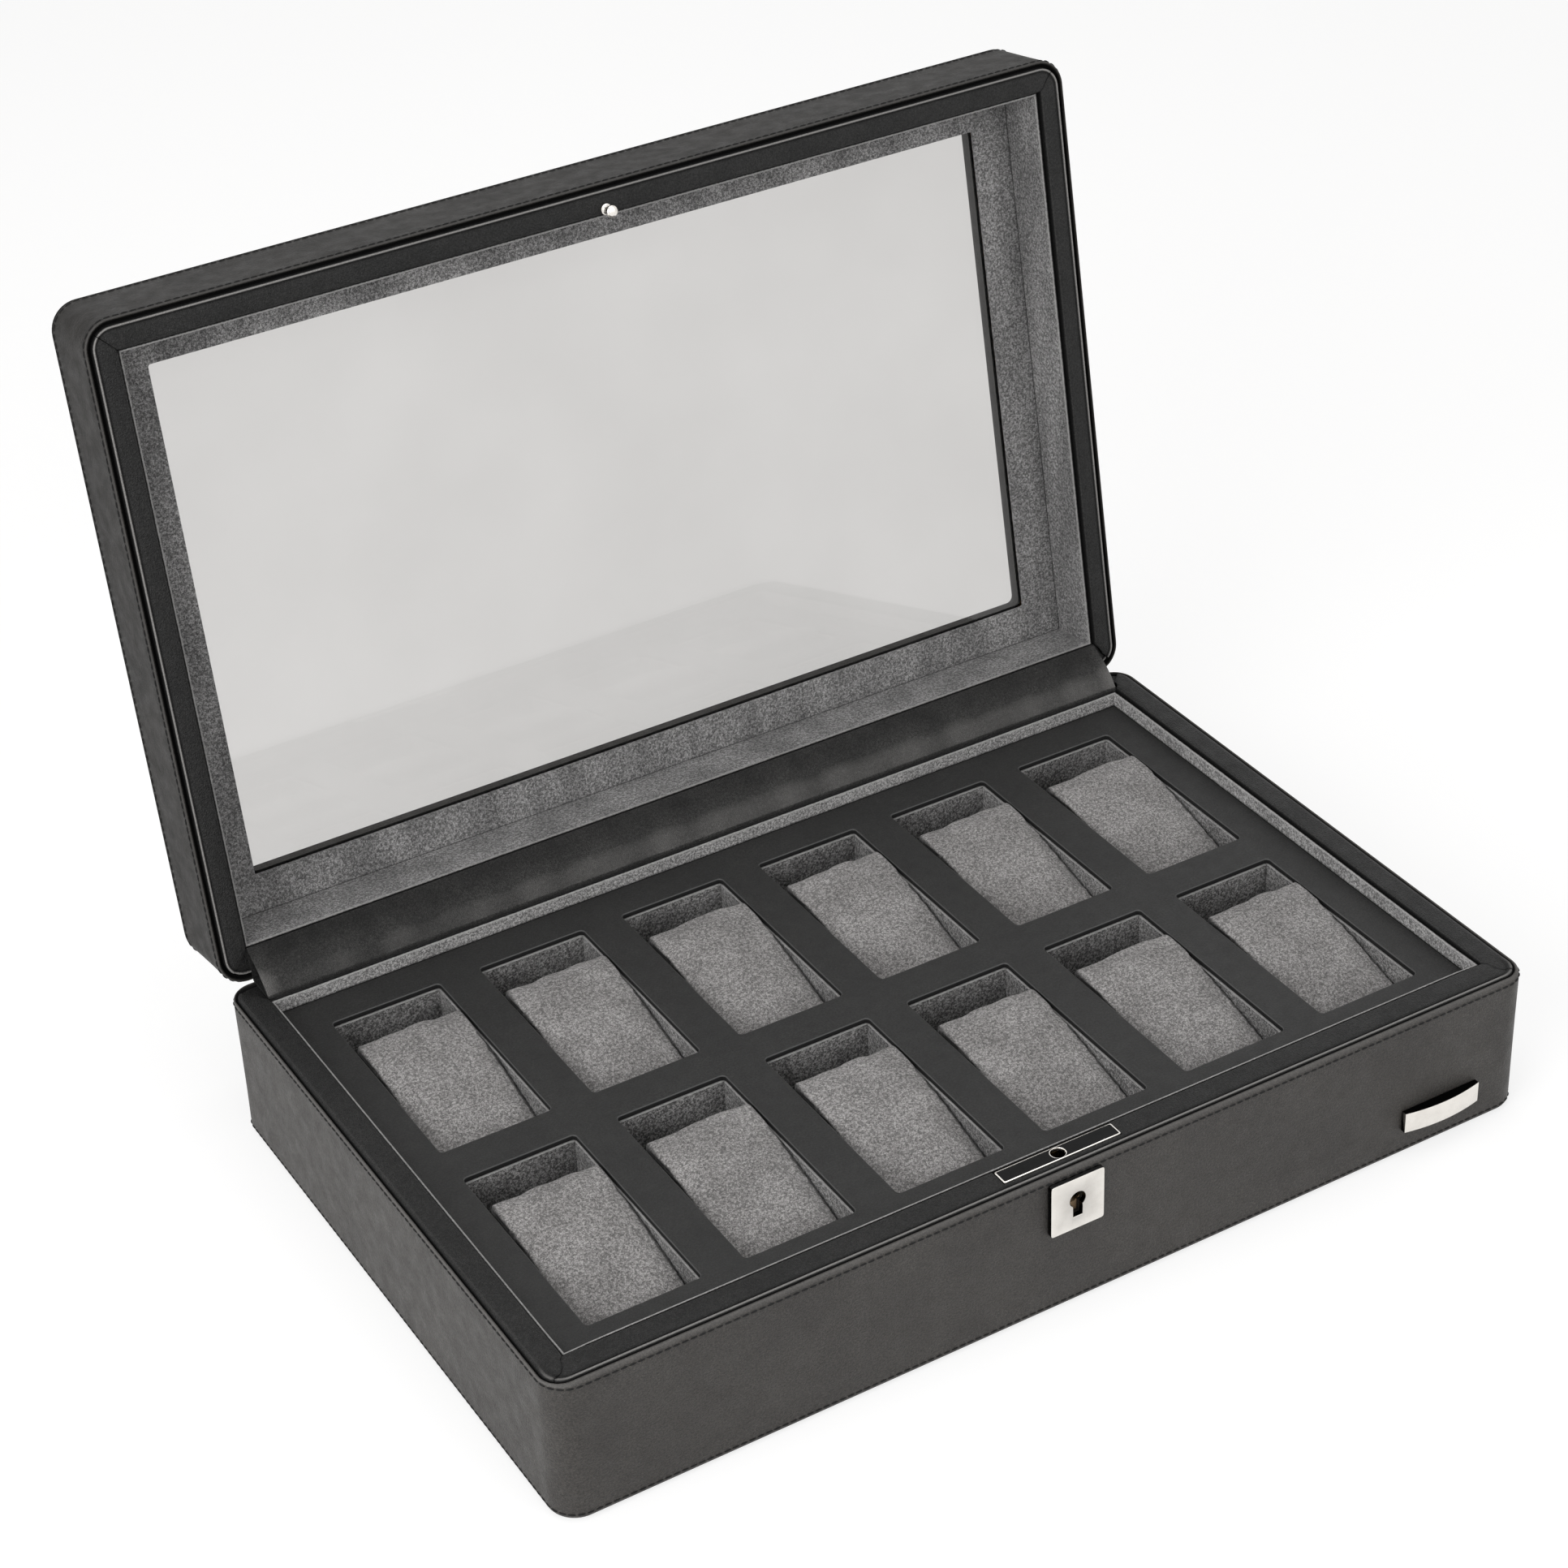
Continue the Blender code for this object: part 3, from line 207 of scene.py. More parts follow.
def smooth_step(share: Array | float) -> Array:
    """Ease from 0 to 1: 3 t^2 - 2 t^3 of the share held between 0 and 1."""
    held = np.clip(share, 0.0, 1.0)
    return held * held * (3 - 2 * held)


def ripple(points: Array, waves: Sequence[tuple[float, float, float, float]], seed: int) -> Array:
    """Soft unevenness: a sum of sines whose phases come from the seed.

    Args:
        points: places in millimetres, last axis three long.
        waves: for each wave its lengths along X, Y and Z in millimetres, and its height.
        seed: chooses the phases.

    Returns:
        The height at each place, in the unit of the waves' heights.
    """
    phases = np.random.default_rng(seed).uniform(0, 2 * math.pi, (len(waves), 2))
    total = np.zeros(points.shape[:-1])
    for (long_x, long_y, long_z, height), (first, second) in zip(waves, phases):
        across = points[..., 0] / long_x + 0.6 * points[..., 2] / long_z
        along = points[..., 1] / long_y - 0.5 * points[..., 2] / long_z
        total += height * np.sin(2 * math.pi * across + first) * np.sin(2 * math.pi * along + second)
    return total


def side_rows(rects: Array, radii: Array, ends: Array, middle: int) -> Array:
    """Points of rounded rectangles, one for each row, side by side.

    A side runs from half-way round one corner to half-way round the next. At a distance d from
    its start it is on the arc, centre - r (m cos a + t sin a) with a = pi/4 - d/r, where t points
    along the side and m into the rectangle; past the arc it goes straight on along t.

    Args:
        rects: low x, high x, low y, high y of each row.
        radii: corner radius of each row.
        ends: distances from each end of a side at which there are points.
        middle: number of points spaced evenly between them.

    Returns:
        Points shaped rows by four sides by points by two.
    """
    x0, x1, y0, y1 = rects.T
    corners = [np.stack(pair, -1) for pair in ((x0, y0), (x1, y0), (x1, y1), (x0, y1))]
    along = np.array([(1.0, 0.0), (0.0, 1.0), (-1.0, 0.0), (0.0, -1.0)])
    radius = radii[:, None]
    sides = []
    for index in range(4):
        here, there = corners[index], corners[(index + 1) % 4]
        t, m = along[index], along[(index + 1) % 4]
        length = np.linalg.norm(there - here, axis=1)[:, None] - 2 * radius + 2 * radius * QUARTER
        distance = ends[None] * np.minimum(1.0, 0.47 * length / ends[-1])
        angle = np.clip(QUARTER - distance / np.maximum(radius, 1e-9), 0.0, QUARTER)
        run = np.maximum(distance - radius * QUARTER, 0.0)
        sunk = radius * np.cos(angle)
        slid = radius * np.sin(angle) - run
        start = (here + radius * (t + m))[:, None] - sunk[..., None] * m - slid[..., None] * t
        end = (there + radius * (m - t))[:, None] - sunk[..., None] * m + slid[..., None] * t
        end = end[:, ::-1]
        share = np.linspace(0, 1, middle + 2)[1:-1][None, :, None]
        between = start[:, -1:] + (end[:, :1] - start[:, -1:]) * share
        sides.append(np.concatenate([start, between, end], axis=1))
    return np.stack(sides, axis=1)


def closed_loops(sides: Array) -> Array:
    """Join the four sides of each row to one loop without its doubled corner points."""
    return sides[:, :, :-1].reshape(sides.shape[0], -1, sides.shape[-1])


def bell(value: Array) -> Array:
    """Bell curve of the value, 1 at nought: e to the minus square."""
    return np.exp(-(value**2))


def distances(line: Array) -> Array:
    """Distance along a line from its first point to each of its points."""
    return np.concatenate([[0.0], np.cumsum(np.linalg.norm(np.diff(line, axis=0), axis=1))])


def waved(loops: Array, low: float, high: float, ease: float, seed: int) -> Array:
    """Walls of a closed skin with faint waves between two heights, fading over the ease.

    Args:
        loops: the skin's closed loops.
        low: height at which the waves begin.
        high: height at which they end.
        ease: height over which they come and go.
        seed: chooses them.

    Returns:
        The loops, drawn in by the skin's inset plus the waves.
    """
    outward = np.stack([loop_normals(loop) for loop in loops])
    height = loops[..., 2]
    face = np.clip((height - low) / ease, 0, 1) * np.clip((high - height) / ease, 0, 1)
    return loops - outward * (face * (SKIN_INSET + ripple(loops, SKIN_WAVES, seed)))[..., None]


def with_height(loops: Array, heights: Array) -> Array:
    """Add a height to flat points: one for each row, or one for each point."""
    heights = np.asarray(heights, float)
    if heights.ndim < loops.ndim - 1:
        heights = heights.reshape(heights.shape + (1,) * (loops.ndim - 1 - heights.ndim))
    spread = np.broadcast_to(heights[..., None], loops.shape[:-1] + (1,))
    return np.concatenate([loops, spread], axis=-1)


# ---- finishes --------------------------------------------------------------------------------
class Tree:
    """A material under construction: one Principled shader and the nodes that feed it."""

    def __init__(self, name: str, **constants: object) -> None:
        """Start a material; constants are the shader's own sockets, with _ for a space."""
        self.material = bpy.data.materials.new(name)
        self.material.use_nodes = True
        self.nodes = self.material.node_tree.nodes
        self.shader = self.nodes["Principled BSDF"]
        for key, value in constants.items():
            self.shader.inputs[key.replace("_", " ")].default_value = value
        self.places = self.nodes.new("ShaderNodeTexCoord").outputs["Object"]

    def link(self, source: Socket, target: Socket) -> None:
        """Join two sockets."""
        self.material.node_tree.links.new(source, target)

    def noise(
        self,
        millimetres: float,
        detail: float = 3.0,
        roughness: float = 0.55,
        stretch: Sequence[float] = (1, 1, 1),
    ) -> Socket:
        """Cloudy noise on Object coordinates.

        Args:
            millimetres: size of its features.
            detail: number of finer layers.
            roughness: strength of the finer layers.
            stretch: factors on X, Y and Z; a smaller one draws the features out.

        Returns:
            The socket with its value, about 0.5 on average.
        """
        mapping = self.nodes.new("ShaderNodeMapping")
        mapping.inputs["Scale"].default_value = tuple(stretch)
        self.link(self.places, mapping.inputs["Vector"])
        node = self.nodes.new("ShaderNodeTexNoise")
        node.inputs["Scale"].default_value = 1 / (millimetres * MM)
        node.inputs["Detail"].default_value = detail
        node.inputs["Roughness"].default_value = roughness
        self.link(mapping.outputs["Vector"], node.inputs["Vector"])
        return node.outputs["Fac"]

    def cells(self, millimetres: float) -> Socket:
        """Leather pores: distance to the nearest cell edge of a Voronoi pattern."""
        node = self.nodes.new("ShaderNodeTexVoronoi")
        node.feature = "DISTANCE_TO_EDGE"
        node.inputs["Scale"].default_value = 1 / (millimetres * MM)
        self.link(self.places, node.inputs["Vector"])
        return node.outputs["Distance"]

    def ramp(self, value: Socket, stops: Sequence[tuple[float, Colour]]) -> Socket:
        """Colour for each value.

        Args:
            value: the socket that chooses.
            stops: places from 0 to 1, each with its linear colour.

        Returns:
            The colour socket.
        """
        node = self.nodes.new("ShaderNodeValToRGB")
        elements = node.color_ramp.elements
        while len(elements) < len(stops):
            elements.new(0.5)
        for element, (place, colour) in zip(elements, stops):
            element.position = place
            element.color = (*colour, 1.0)
        self.link(value, node.inputs["Fac"])
        return node.outputs["Color"]

    def mix(
        self,
        first: Socket,
        second: Socket | Colour,
        share: Socket | float,
        way: str = "MIX",
    ) -> Socket:
        """Mix two colours.

        Args:
            first: colour at share 0.
            second: colour at share 1, as a socket or as three numbers.
            share: a socket or a number.
            way: the blend type.

        Returns:
            The mixed colour socket.
        """
        node = self.nodes.new("ShaderNodeMix")
        node.data_type = "RGBA"
        node.blend_type = way
        colours = [socket for socket in node.inputs if socket.type == "RGBA"]
        self.link(first, colours[0])
        if isinstance(second, tuple):
            colours[1].default_value = (*second, 1.0)
        else:
            self.link(second, colours[1])
        if isinstance(share, (int, float)):
            node.inputs[0].default_value = share
        else:
            self.link(share, node.inputs[0])
        return next(socket for socket in node.outputs if socket.type == "RGBA")

    def tones(self) -> tuple[Socket, Socket]:
        """Pale share (a cut edge on suede, a painted highlight on leather) and dark share (painted shade) of
        the piece's tone, each from 0 to 1.
        """
        node = self.nodes.new("ShaderNodeAttribute")
        node.attribute_name = "tone"
        tone = node.outputs["Fac"]
        pale = self.math("MAXIMUM", tone, 0.0)
        dark = self.math("MAXIMUM", self.math("MULTIPLY", tone, -1.0), 0.0)
        return pale, dark

    def over(self, millimetres: float) -> Socket:
        """Share that is 1 above this height and 0 below it."""
        node = self.nodes.new("ShaderNodeSeparateXYZ")
        self.link(self.places, node.inputs[0])
        return self.math("GREATER_THAN", node.outputs["Z"], millimetres * MM)

    def math(self, way: str, first: object, second: object = 0.0, third: object = 0.0) -> Socket:
        """Arithmetic on sockets and numbers: the way names the operation."""
        node = self.nodes.new("ShaderNodeMath")
        node.operation = way
        for socket, value in zip(node.inputs, (first, second, third)):
            if isinstance(value, (int, float)):
                socket.default_value = value
            else:
                self.link(value, socket)
        return node.outputs[0]

    def bump(self, height: Socket, millimetres: float, strength: float = 1.0) -> None:
        """Add relief to what the shader has: so many millimetres deep, a share of it shown."""
        node = self.nodes.new("ShaderNodeBump")
        node.inputs["Distance"].default_value = millimetres * MM
        node.inputs["Strength"].default_value = strength
        self.link(height, node.inputs["Height"])
        held = self.shader.inputs["Normal"].links
        if held:
            self.link(held[0].from_socket, node.inputs["Normal"])
        self.link(node.outputs["Normal"], self.shader.inputs["Normal"])


@dataclass(frozen=True)
class Leather:
    """Leather: cloudy colour, fine grain and pores, painted highlights on beads and rolled edges, and
    painted shade in creases and gaps.
    """

    name: str
    dark: Colour
    light: Colour
    roughness: tuple[float, float] = (0.45, 0.6)
    pore: float = 0.9
    relief: float = 0.06
    cloud: float = 22.0
    specular: float = 0.4
    grain: float = 0.8
    contrast: float = 0.32
    # Colour of the painted highlight on beads, shoulders and rolled edges.
    worn: Colour = (0.34, 0.33, 0.32)

    def material(self) -> Material:
        """Build the material.

        The grain multiplies the cloudy colour by 1 - contrast to 1 + contrast at two sizes.

        Returns:
            The finished material.
        """
        tree = Tree(self.name, Specular_IOR_Level=self.specular)
        colour = tree.ramp(tree.noise(self.cloud, 4.0), [(0.35, self.dark), (0.65, self.light)])
        low, high = 1 - self.contrast, 1 + self.contrast
        for size in (self.grain, 0.45 * self.grain):
            speck = tree.ramp(tree.noise(size, 2.0, 0.7), [(0.4, (low,) * 3), (0.6, (high,) * 3)])
            colour = tree.mix(colour, speck, 1.0, "MULTIPLY")
        # Pale tone mixes in a painted highlight on beads, rolls and shoulders; dark tone mixes in painted
        # shade in gaps, grooves and creases.
        pale, dark = tree.tones()
        colour = tree.mix(colour, self.worn, pale)
        colour = tree.mix(colour, (0.0008, 0.0008, 0.0008), dark)
        tree.link(colour, tree.shader.inputs["Base Color"])
        low, high = self.roughness
        rough = tree.ramp(tree.noise(6.0), [(0.3, (low,) * 3), (0.7, (high,) * 3)])
        rough = tree.math("MULTIPLY_ADD", dark, 0.5, rough)
        rough = tree.math("MULTIPLY_ADD", pale, -0.15, rough)
        tree.link(rough, tree.shader.inputs["Roughness"])
        pores = tree.math("MINIMUM", tree.math("MULTIPLY", tree.cells(self.pore), 4.0), 1.0)
        tree.bump(pores, self.relief)
        tree.bump(tree.noise(self.grain, 3.0), self.relief * 1.6)
        return tree.material


@dataclass(frozen=True)
class Suede:
    """Suede: speckled nap, brushed patches, a little sheen, a pale cut edge and painted shade in creases and
    gaps.
    """

    name: str
    dark: Colour
    light: Colour
    cut: Colour
    sheen: float = 0.15
    speck: float = 0.95
    contrast: float = 0.42
    patch: float = 16.0
    brushed: Sequence[float] = (1.0, 1.0, 1.0)
    relief: float = 0.16
    ledge: float | None = None

    def material(self) -> Material:
        """Build the material.

        The nap multiplies the patchy colour by 1 - contrast to 1 + contrast at two sizes.

        Returns:
            The finished material.
        """
        sheen = {"Sheen_Weight": self.sheen, "Sheen_Roughness": 0.45}
        tree = Tree(self.name, Roughness=0.95, Specular_IOR_Level=0.15, **sheen)
        patches = tree.noise(self.patch, 3.0, 0.5, self.brushed)
        colour = tree.ramp(patches, [(0.38, self.dark), (0.62, self.light)])
        low, high = 1 - self.contrast, 1 + self.contrast
        for size in (self.speck, 0.45 * self.speck):
            speck = tree.ramp(tree.noise(size, 2.0, 0.7), [(0.41, (low,) * 3), (0.59, (high,) * 3)])
            colour = tree.mix(colour, speck, 1.0, "MULTIPLY")
        pale, dark = tree.tones()
        if self.ledge is not None:
            pale = tree.math("MAXIMUM", pale, tree.over(self.ledge))
        cut = tree.ramp(tree.noise(1.2), [(0.35, tuple(0.7 * c for c in self.cut)), (0.65, self.cut)])
        colour = tree.mix(colour, cut, pale)
        # Dark tone mixes in painted shade in gaps, at joints and on hidden faces.
        colour = tree.mix(colour, (0.002, 0.002, 0.002), dark)
        tree.link(colour, tree.shader.inputs["Base Color"])
        tree.bump(tree.noise(0.9, 3.0, 0.7), self.relief)
        tree.bump(tree.noise(5.0, 2.0), self.relief * 1.5)
        return tree.material


@dataclass(frozen=True)
class Metal:
    """Metal: clean or with darker patches, with hair-fine scratches and a painted dark reflection on its
    sides where the tone is dark. On the lock parts the darker colour is painted shade in the keyhole.
    """

    name: str
    colour: Colour
    # Darker colour of the ramp: stains on the steel, and painted shade on the lock parts.
    stain: Colour
    roughness: tuple[float, float] = (0.12, 0.28)
    scratch: Sequence[float] = (1.0, 1.0, 0.05)

    def material(self) -> Material:
        """Build the material."""
        tree = Tree(self.name, Metallic=1.0)
        colour = tree.ramp(tree.noise(4.0), [(0.3, self.stain), (0.6, self.colour)])
        # Dark tone: near black, a painted dark reflection on the plates' sides and painted shade on the
        # walls of the keyhole.
        colour = tree.mix(colour, (0.008, 0.008, 0.008), tree.tones()[1])
        tree.link(colour, tree.shader.inputs["Base Color"])
        low, high = self.roughness
        hair = tree.noise(0.25, 2.0, 0.6, self.scratch)
        tree.link(tree.ramp(hair, [(0.3, (low,) * 3), (0.7, (high,) * 3)]), tree.shader.inputs["Roughness"])
        tree.bump(hair, 0.004)
        return tree.material


@dataclass(frozen=True)
class Enamel:
    """Glossy black coating with a trace of orange peel."""

    name: str
    dark: Colour
    light: Colour
    roughness: float = 0.18

    def material(self) -> Material:
        """Build the material."""
        tree = Tree(self.name, Roughness=self.roughness, Specular_IOR_Level=0.12)
        colour = tree.ramp(tree.noise(3.0), [(0.3, self.dark), (0.7, self.light)])
        tree.link(colour, tree.shader.inputs["Base Color"])
        tree.bump(tree.noise(0.9), 0.008)
        return tree.material


@dataclass(frozen=True)
class Glass:
    """Clear plate glass with a grey cast, dusted very lightly."""

    name: str
    tint: Colour
    dust: Colour

    def material(self) -> Material:
        """Build the material."""
        tree = Tree(self.name, Transmission_Weight=1.0, IOR=1.45)
        colour = tree.ramp(tree.noise(60.0, 2.0), [(0.3, self.tint), (0.7, self.dust)])
        tree.link(colour, tree.shader.inputs["Base Color"])
        smear = tree.ramp(tree.noise(9.0, 4.0), [(0.35, (0.01,) * 3), (0.8, (0.03,) * 3)])
        tree.link(smear, tree.shader.inputs["Roughness"])
        return tree.material


@dataclass(frozen=True)
class Wood:
    """Pale board: long fibres with darker streaks."""

    name: str
    dark: Colour
    light: Colour

    def material(self) -> Material:
        """Build the material."""
        tree = Tree(self.name, Roughness=0.75)
        fibres = tree.noise(5.0, 5.0, 0.6, (0.06, 1.0, 1.0))
        tree.link(tree.ramp(fibres, [(0.3, self.dark), (0.7, self.light)]), tree.shader.inputs["Base Color"])
        tree.bump(fibres, 0.1)
        return tree.material


@dataclass(frozen=True)
class Palette:
    """Every finish of the box, built once."""

    smooth: Leather = Leather("smooth_leather", (0.031, 0.0280, 0.0255), (0.041, 0.0375, 0.034))
    # A darker copy of the side leather for the lid: painted shade.
    smooth_lid: Leather = Leather(
        "smooth_lid_leather", (0.0115, 0.0104, 0.0093), (0.0175, 0.0159, 0.0143), specular=0.16
    )
    rim: Leather = Leather(
        "rim_leather", (0.0105, 0.0105, 0.0103), (0.015, 0.0148, 0.0145),
        (0.45, 0.6), pore=0.8, relief=0.12, specular=0.24, contrast=0.4,
    )
    tray: Leather = Leather(
        "tray_leather", (0.0115, 0.0114, 0.0110), (0.0155, 0.0153, 0.0148),
        (0.55, 0.66), pore=0.6, relief=0.04, worn=(0.2, 0.2, 0.2),
    )
    hinge: Leather = Leather(
        "hinge_leather", (0.021, 0.0206, 0.0200), (0.036, 0.0351, 0.0340),
        (0.5, 0.65), pore=0.6, relief=0.16, cloud=13.0, specular=0.3, contrast=0.4,
    )
    suede: Suede = Suede(
        "suede", (0.160, 0.1580, 0.1580), (0.240, 0.2365, 0.2360),
        (0.34, 0.335, 0.33), brushed=(1.0, 1.0, 0.22),
    )
    # A lighter copy of the suede for the base's walls: painted light.
    wall: Suede = Suede(
        "wall_suede", (0.270, 0.2660, 0.2645), (0.320, 0.3150, 0.3130), (0.42, 0.415, 0.41)
    )
    well: Suede = Suede(
        "well_suede", (0.160, 0.1570, 0.1560), (0.225, 0.2210, 0.2190),
        (0.46, 0.455, 0.45), contrast=0.5, ledge=46.3,
    )
    cushion: Suede = Suede(
        "cushion_suede", (0.225, 0.2180, 0.2150), (0.275, 0.2670, 0.2640),
        (0.34, 0.335, 0.33), contrast=0.34,
    )
    steel: Metal = Metal("polished_steel", (0.81, 0.780, 0.735), (0.75, 0.720, 0.675))
    # Lock parts darkened towards black: painted shade inside the keyhole.
    lock_steel: Metal = Metal("lock_steel", (0.22, 0.155, 0.075), (0.012, 0.010, 0.007), (0.2, 0.4))
    enamel: Enamel = Enamel("black_enamel", (0.003, 0.003, 0.003), (0.006, 0.006, 0.006))
    glass: Glass = Glass("plate_glass", (0.615, 0.605, 0.595), (0.650, 0.640, 0.630))
    board: Wood = Wood("board", (0.25, 0.16, 0.09), (0.42, 0.30, 0.18))
    felt: Suede = Suede("felt", (0.010, 0.010, 0.010), (0.018, 0.018, 0.018), (0.03, 0.03, 0.03))
    thread: Leather = Leather(
        "thread", (0.002, 0.002, 0.002), (0.005, 0.0048, 0.0045), (0.75, 0.9), 0.3, 0.05
    )
    ready: dict[str, Material] = field(default_factory=dict)

    def __getitem__(self, word: str) -> Material:
        """The finished material of that name, built the first time it is asked for."""
        if word not in self.ready:
            self.ready[word] = getattr(self, word).material()
        return self.ready[word]


# ---- the case --------------------------------------------------------------------------------
@dataclass(frozen=True)
class Case:
    """Sizes that the base and the lid share, in millimetres."""

    width: float = 375.0
    depth: float = 238.6
    rim_z: float = 55.7
    lid_rim_z: float = 56.3
    lid_top_z: float = 88.8
    corner: float = 10.0
    open_degrees: float = 100.2
    hinge_y: float = 118.8
    hinge_z: float = 56.0
    rear_drop: float = 1.2
    hinge_end: float = 11.1

    def opened(self, points: Array) -> Array:
        """Turn points of the shut lid about the hinge to where they are with the lid open.

        With dy and dz from the hinge and the turn f: y = dy cos f - dz sin f, z = dy sin f + dz cos f.

        Args:
            points: places with the lid shut, last axis three long.

        Returns:
            The places with the lid open.
        """
        turn = -math.radians(self.open_degrees)
        dy, dz = points[..., 1] - self.hinge_y, points[..., 2] - self.hinge_z
        y = self.hinge_y + dy * math.cos(turn) - dz * math.sin(turn)
        z = self.hinge_z + dy * math.sin(turn) + dz * math.cos(turn)
        return np.stack([points[..., 0], y, z], axis=-1)

    def rectangles(self, side: Array, front: Array, rear: Array, right: Array | None = None) -> Array:
        """Low x, high x, low y, high y at these insets; the right has the left's unless given."""
        half_x, half_y = self.width / 2, self.depth / 2
        high_x = half_x - (side if right is None else right)
        return np.stack([side - half_x, high_x, front - half_y, half_y - rear], axis=-1)

    def rows(
        self,
        side: Array,
        front: Array,
        rear: Array,
        ends: Array,
        middle: int,
        right: Array | None = None,
    ) -> Array:
        """Rounded rectangles at these insets, with corners that shrink with the inset."""
        deepest = np.maximum(side, np.maximum(front, rear))
        radii = np.maximum(self.corner - deepest, 0.0)
        return side_rows(self.rectangles(side, front, rear, right), radii, ends, middle)


CASE = Case()
CORNER_ENDS = np.array([0.0, 0.8, 1.8, 2.9, 4.0, 5.2, 6.5, 7.9, 9.5, 12.0])
SMALL_ENDS = np.array([0.0, 0.4, 0.8, 1.2, 1.9, 3.0])
# Inset, height and tone of one row of a section.
Row = tuple[float, float, float]
# Only the front has a section of its own; it fades out over this distance past a corner.
FRONT_ONLY = {side: float(side is Side.FRONT) for side in Side}
CORNER_REACH = 9.0
# Waves of the leather: lengths along x, y and z, and height.
SKIN_WAVES = ((90.0, 90.0, 60.0, 0.05), (37.0, 37.0, 31.0, 0.03))
BAND_WAVES = ((60.0, 60.0, 50.0, 0.03), (23.0, 19.0, 20.0, 0.02))
# A skin's mean distance inside its node's wall.
SKIN_INSET = 0.08
# A grid that closes both ways.
RING = {"wrap_rows": True, "wrap_columns": True}
# The line on which the stud and the lock plate stand, and the backs of the two front plates.
LOCK_Y = -110.1
PLATE_BACK = -119.55
NAMEPLATE_BACK = -119.45


def side_share(own: dict[Side, float], flat: Array, reach: float = 12.0) -> Array:
    """A number for each side, eased into its neighbours' over the corners.

    At the two ends of a side it is half-way to the neighbour's number, and it comes to its own
    by the smooth step of the distance over the reach.

    Args:
        own: each side's number.
        flat: points of one row, shaped four by points by two.
        reach: distance from a mitre at which a side has its own number.

    Returns:
        Numbers, shaped four by points.
    """
    return np.stack([eased(own, side, flat[side.value], reach) for side in Side])


def eased(own: dict[Side, float], side: Side, line: Array, reach: float) -> Array:
    """Numbers of one side for side_share, at the points of its line."""
    run = distances(line)
    before = (own[Side((side.value - 1) % 4)] + own[side]) / 2
    after = (own[Side((side.value + 1) % 4)] + own[side]) / 2
    near, far = smooth_step(run / reach), smooth_step((run[-1] - run) / reach)
    return before + (own[side] - before) * near + (after - own[side]) * (1 - far)


@dataclass(frozen=True)
class Section:
    """A covering's section: (inset, height, tone) at the sides and rear, and the same at the front."""

    plain: tuple[tuple[float, float, float], ...]
    front: tuple[tuple[float, float, float], ...]

    def loops(self, base: float) -> tuple[Array, Array]:
        """Carry the section round the case.

        Args:
            base: height of the rim that the section's heights start from.

        Returns:
            Closed loops, shaped rows by points by three, and the tone of each point.
        """
        plain, front = np.array(self.plain), np.array(self.front)
        flat = CASE.rows(plain[:, 0], front[:, 0], plain[:, 0], CORNER_ENDS, 46)
        share = side_share(FRONT_ONLY, flat[0], CORNER_REACH)[None, ..., None]
        rest = plain[:, None, None, 1:] + share * (front - plain)[:, None, None, 1:]
        loops = closed_loops(np.concatenate([flat, rest], axis=-1))
        loops[..., 2] += base
        return loops[..., :3], loops[..., 3]


class Builder:
    """Puts finished pieces on the frame."""

    def __init__(self, palette: Palette) -> None:
        """Keep the finishes at hand."""
        self.palette = palette

    def add(
        self,
        name: str,
        mesh: Mesh,
        finish: str,
        slot: Slot,
        body: str | None,
        replaces: Sequence[str] = (),
    ) -> bpy.types.Object:
        """Make one piece of the object.

        Args:
            name: the piece's name.
            mesh: its mesh, in place.
            finish: word of the palette.
            slot: material slot of the record; not used.
            body: the body it rides on, or none.
            replaces: CAD nodes that it stands for.

        Returns:
            The piece.
        """
        piece = bpy.data.objects.new(name, mesh)
        bpy.context.scene.collection.objects.link(piece)
        mesh.materials.clear()
        mesh.materials.append(self.palette[finish])
        if body is not None:
            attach(piece, body)
        if replaces:
            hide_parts(*replaces)
        LOG.info("%s: %d faces on %s", name, len(mesh.polygons), body)
        return piece

    def carve(self, mesh: Mesh, low: Sequence[float], high: Sequence[float]) -> Mesh:
        """Cut a box out of a mesh.

        Args:
            mesh: the closed mesh.
            low: lowest corner of the box, in millimetres.
            high: highest corner.

        Returns:
            A new mesh without the box.
        """
        work = bmesh.new()
        middle = [(a + b) / 2 * MM for a, b in zip(low, high)]
        sizes = [(b - a) * MM for a, b in zip(low, high)]
        matrix = Matrix.Translation(middle) @ Matrix.Diagonal((*sizes, 1.0))
        bmesh.ops.create_cube(work, size=1.0, matrix=matrix)
        cutter_mesh = bpy.data.meshes.new("cutter")
        work.to_mesh(cutter_mesh)
        work.free()
        cutter = bpy.data.objects.new("cutter", cutter_mesh)
        target = bpy.data.objects.new("target", mesh)
        for item in (cutter, target):
            bpy.context.scene.collection.objects.link(item)
        modifier = target.modifiers.new("cut", "BOOLEAN")
        modifier.operation = "DIFFERENCE"
        modifier.object = cutter
        evaluated = target.evaluated_get(bpy.context.evaluated_depsgraph_get())
        result = bpy.data.meshes.new_from_object(evaluated)
        result.name = mesh.name + "_cut"
        for item in (cutter, target):
            bpy.data.objects.remove(item)
        return result


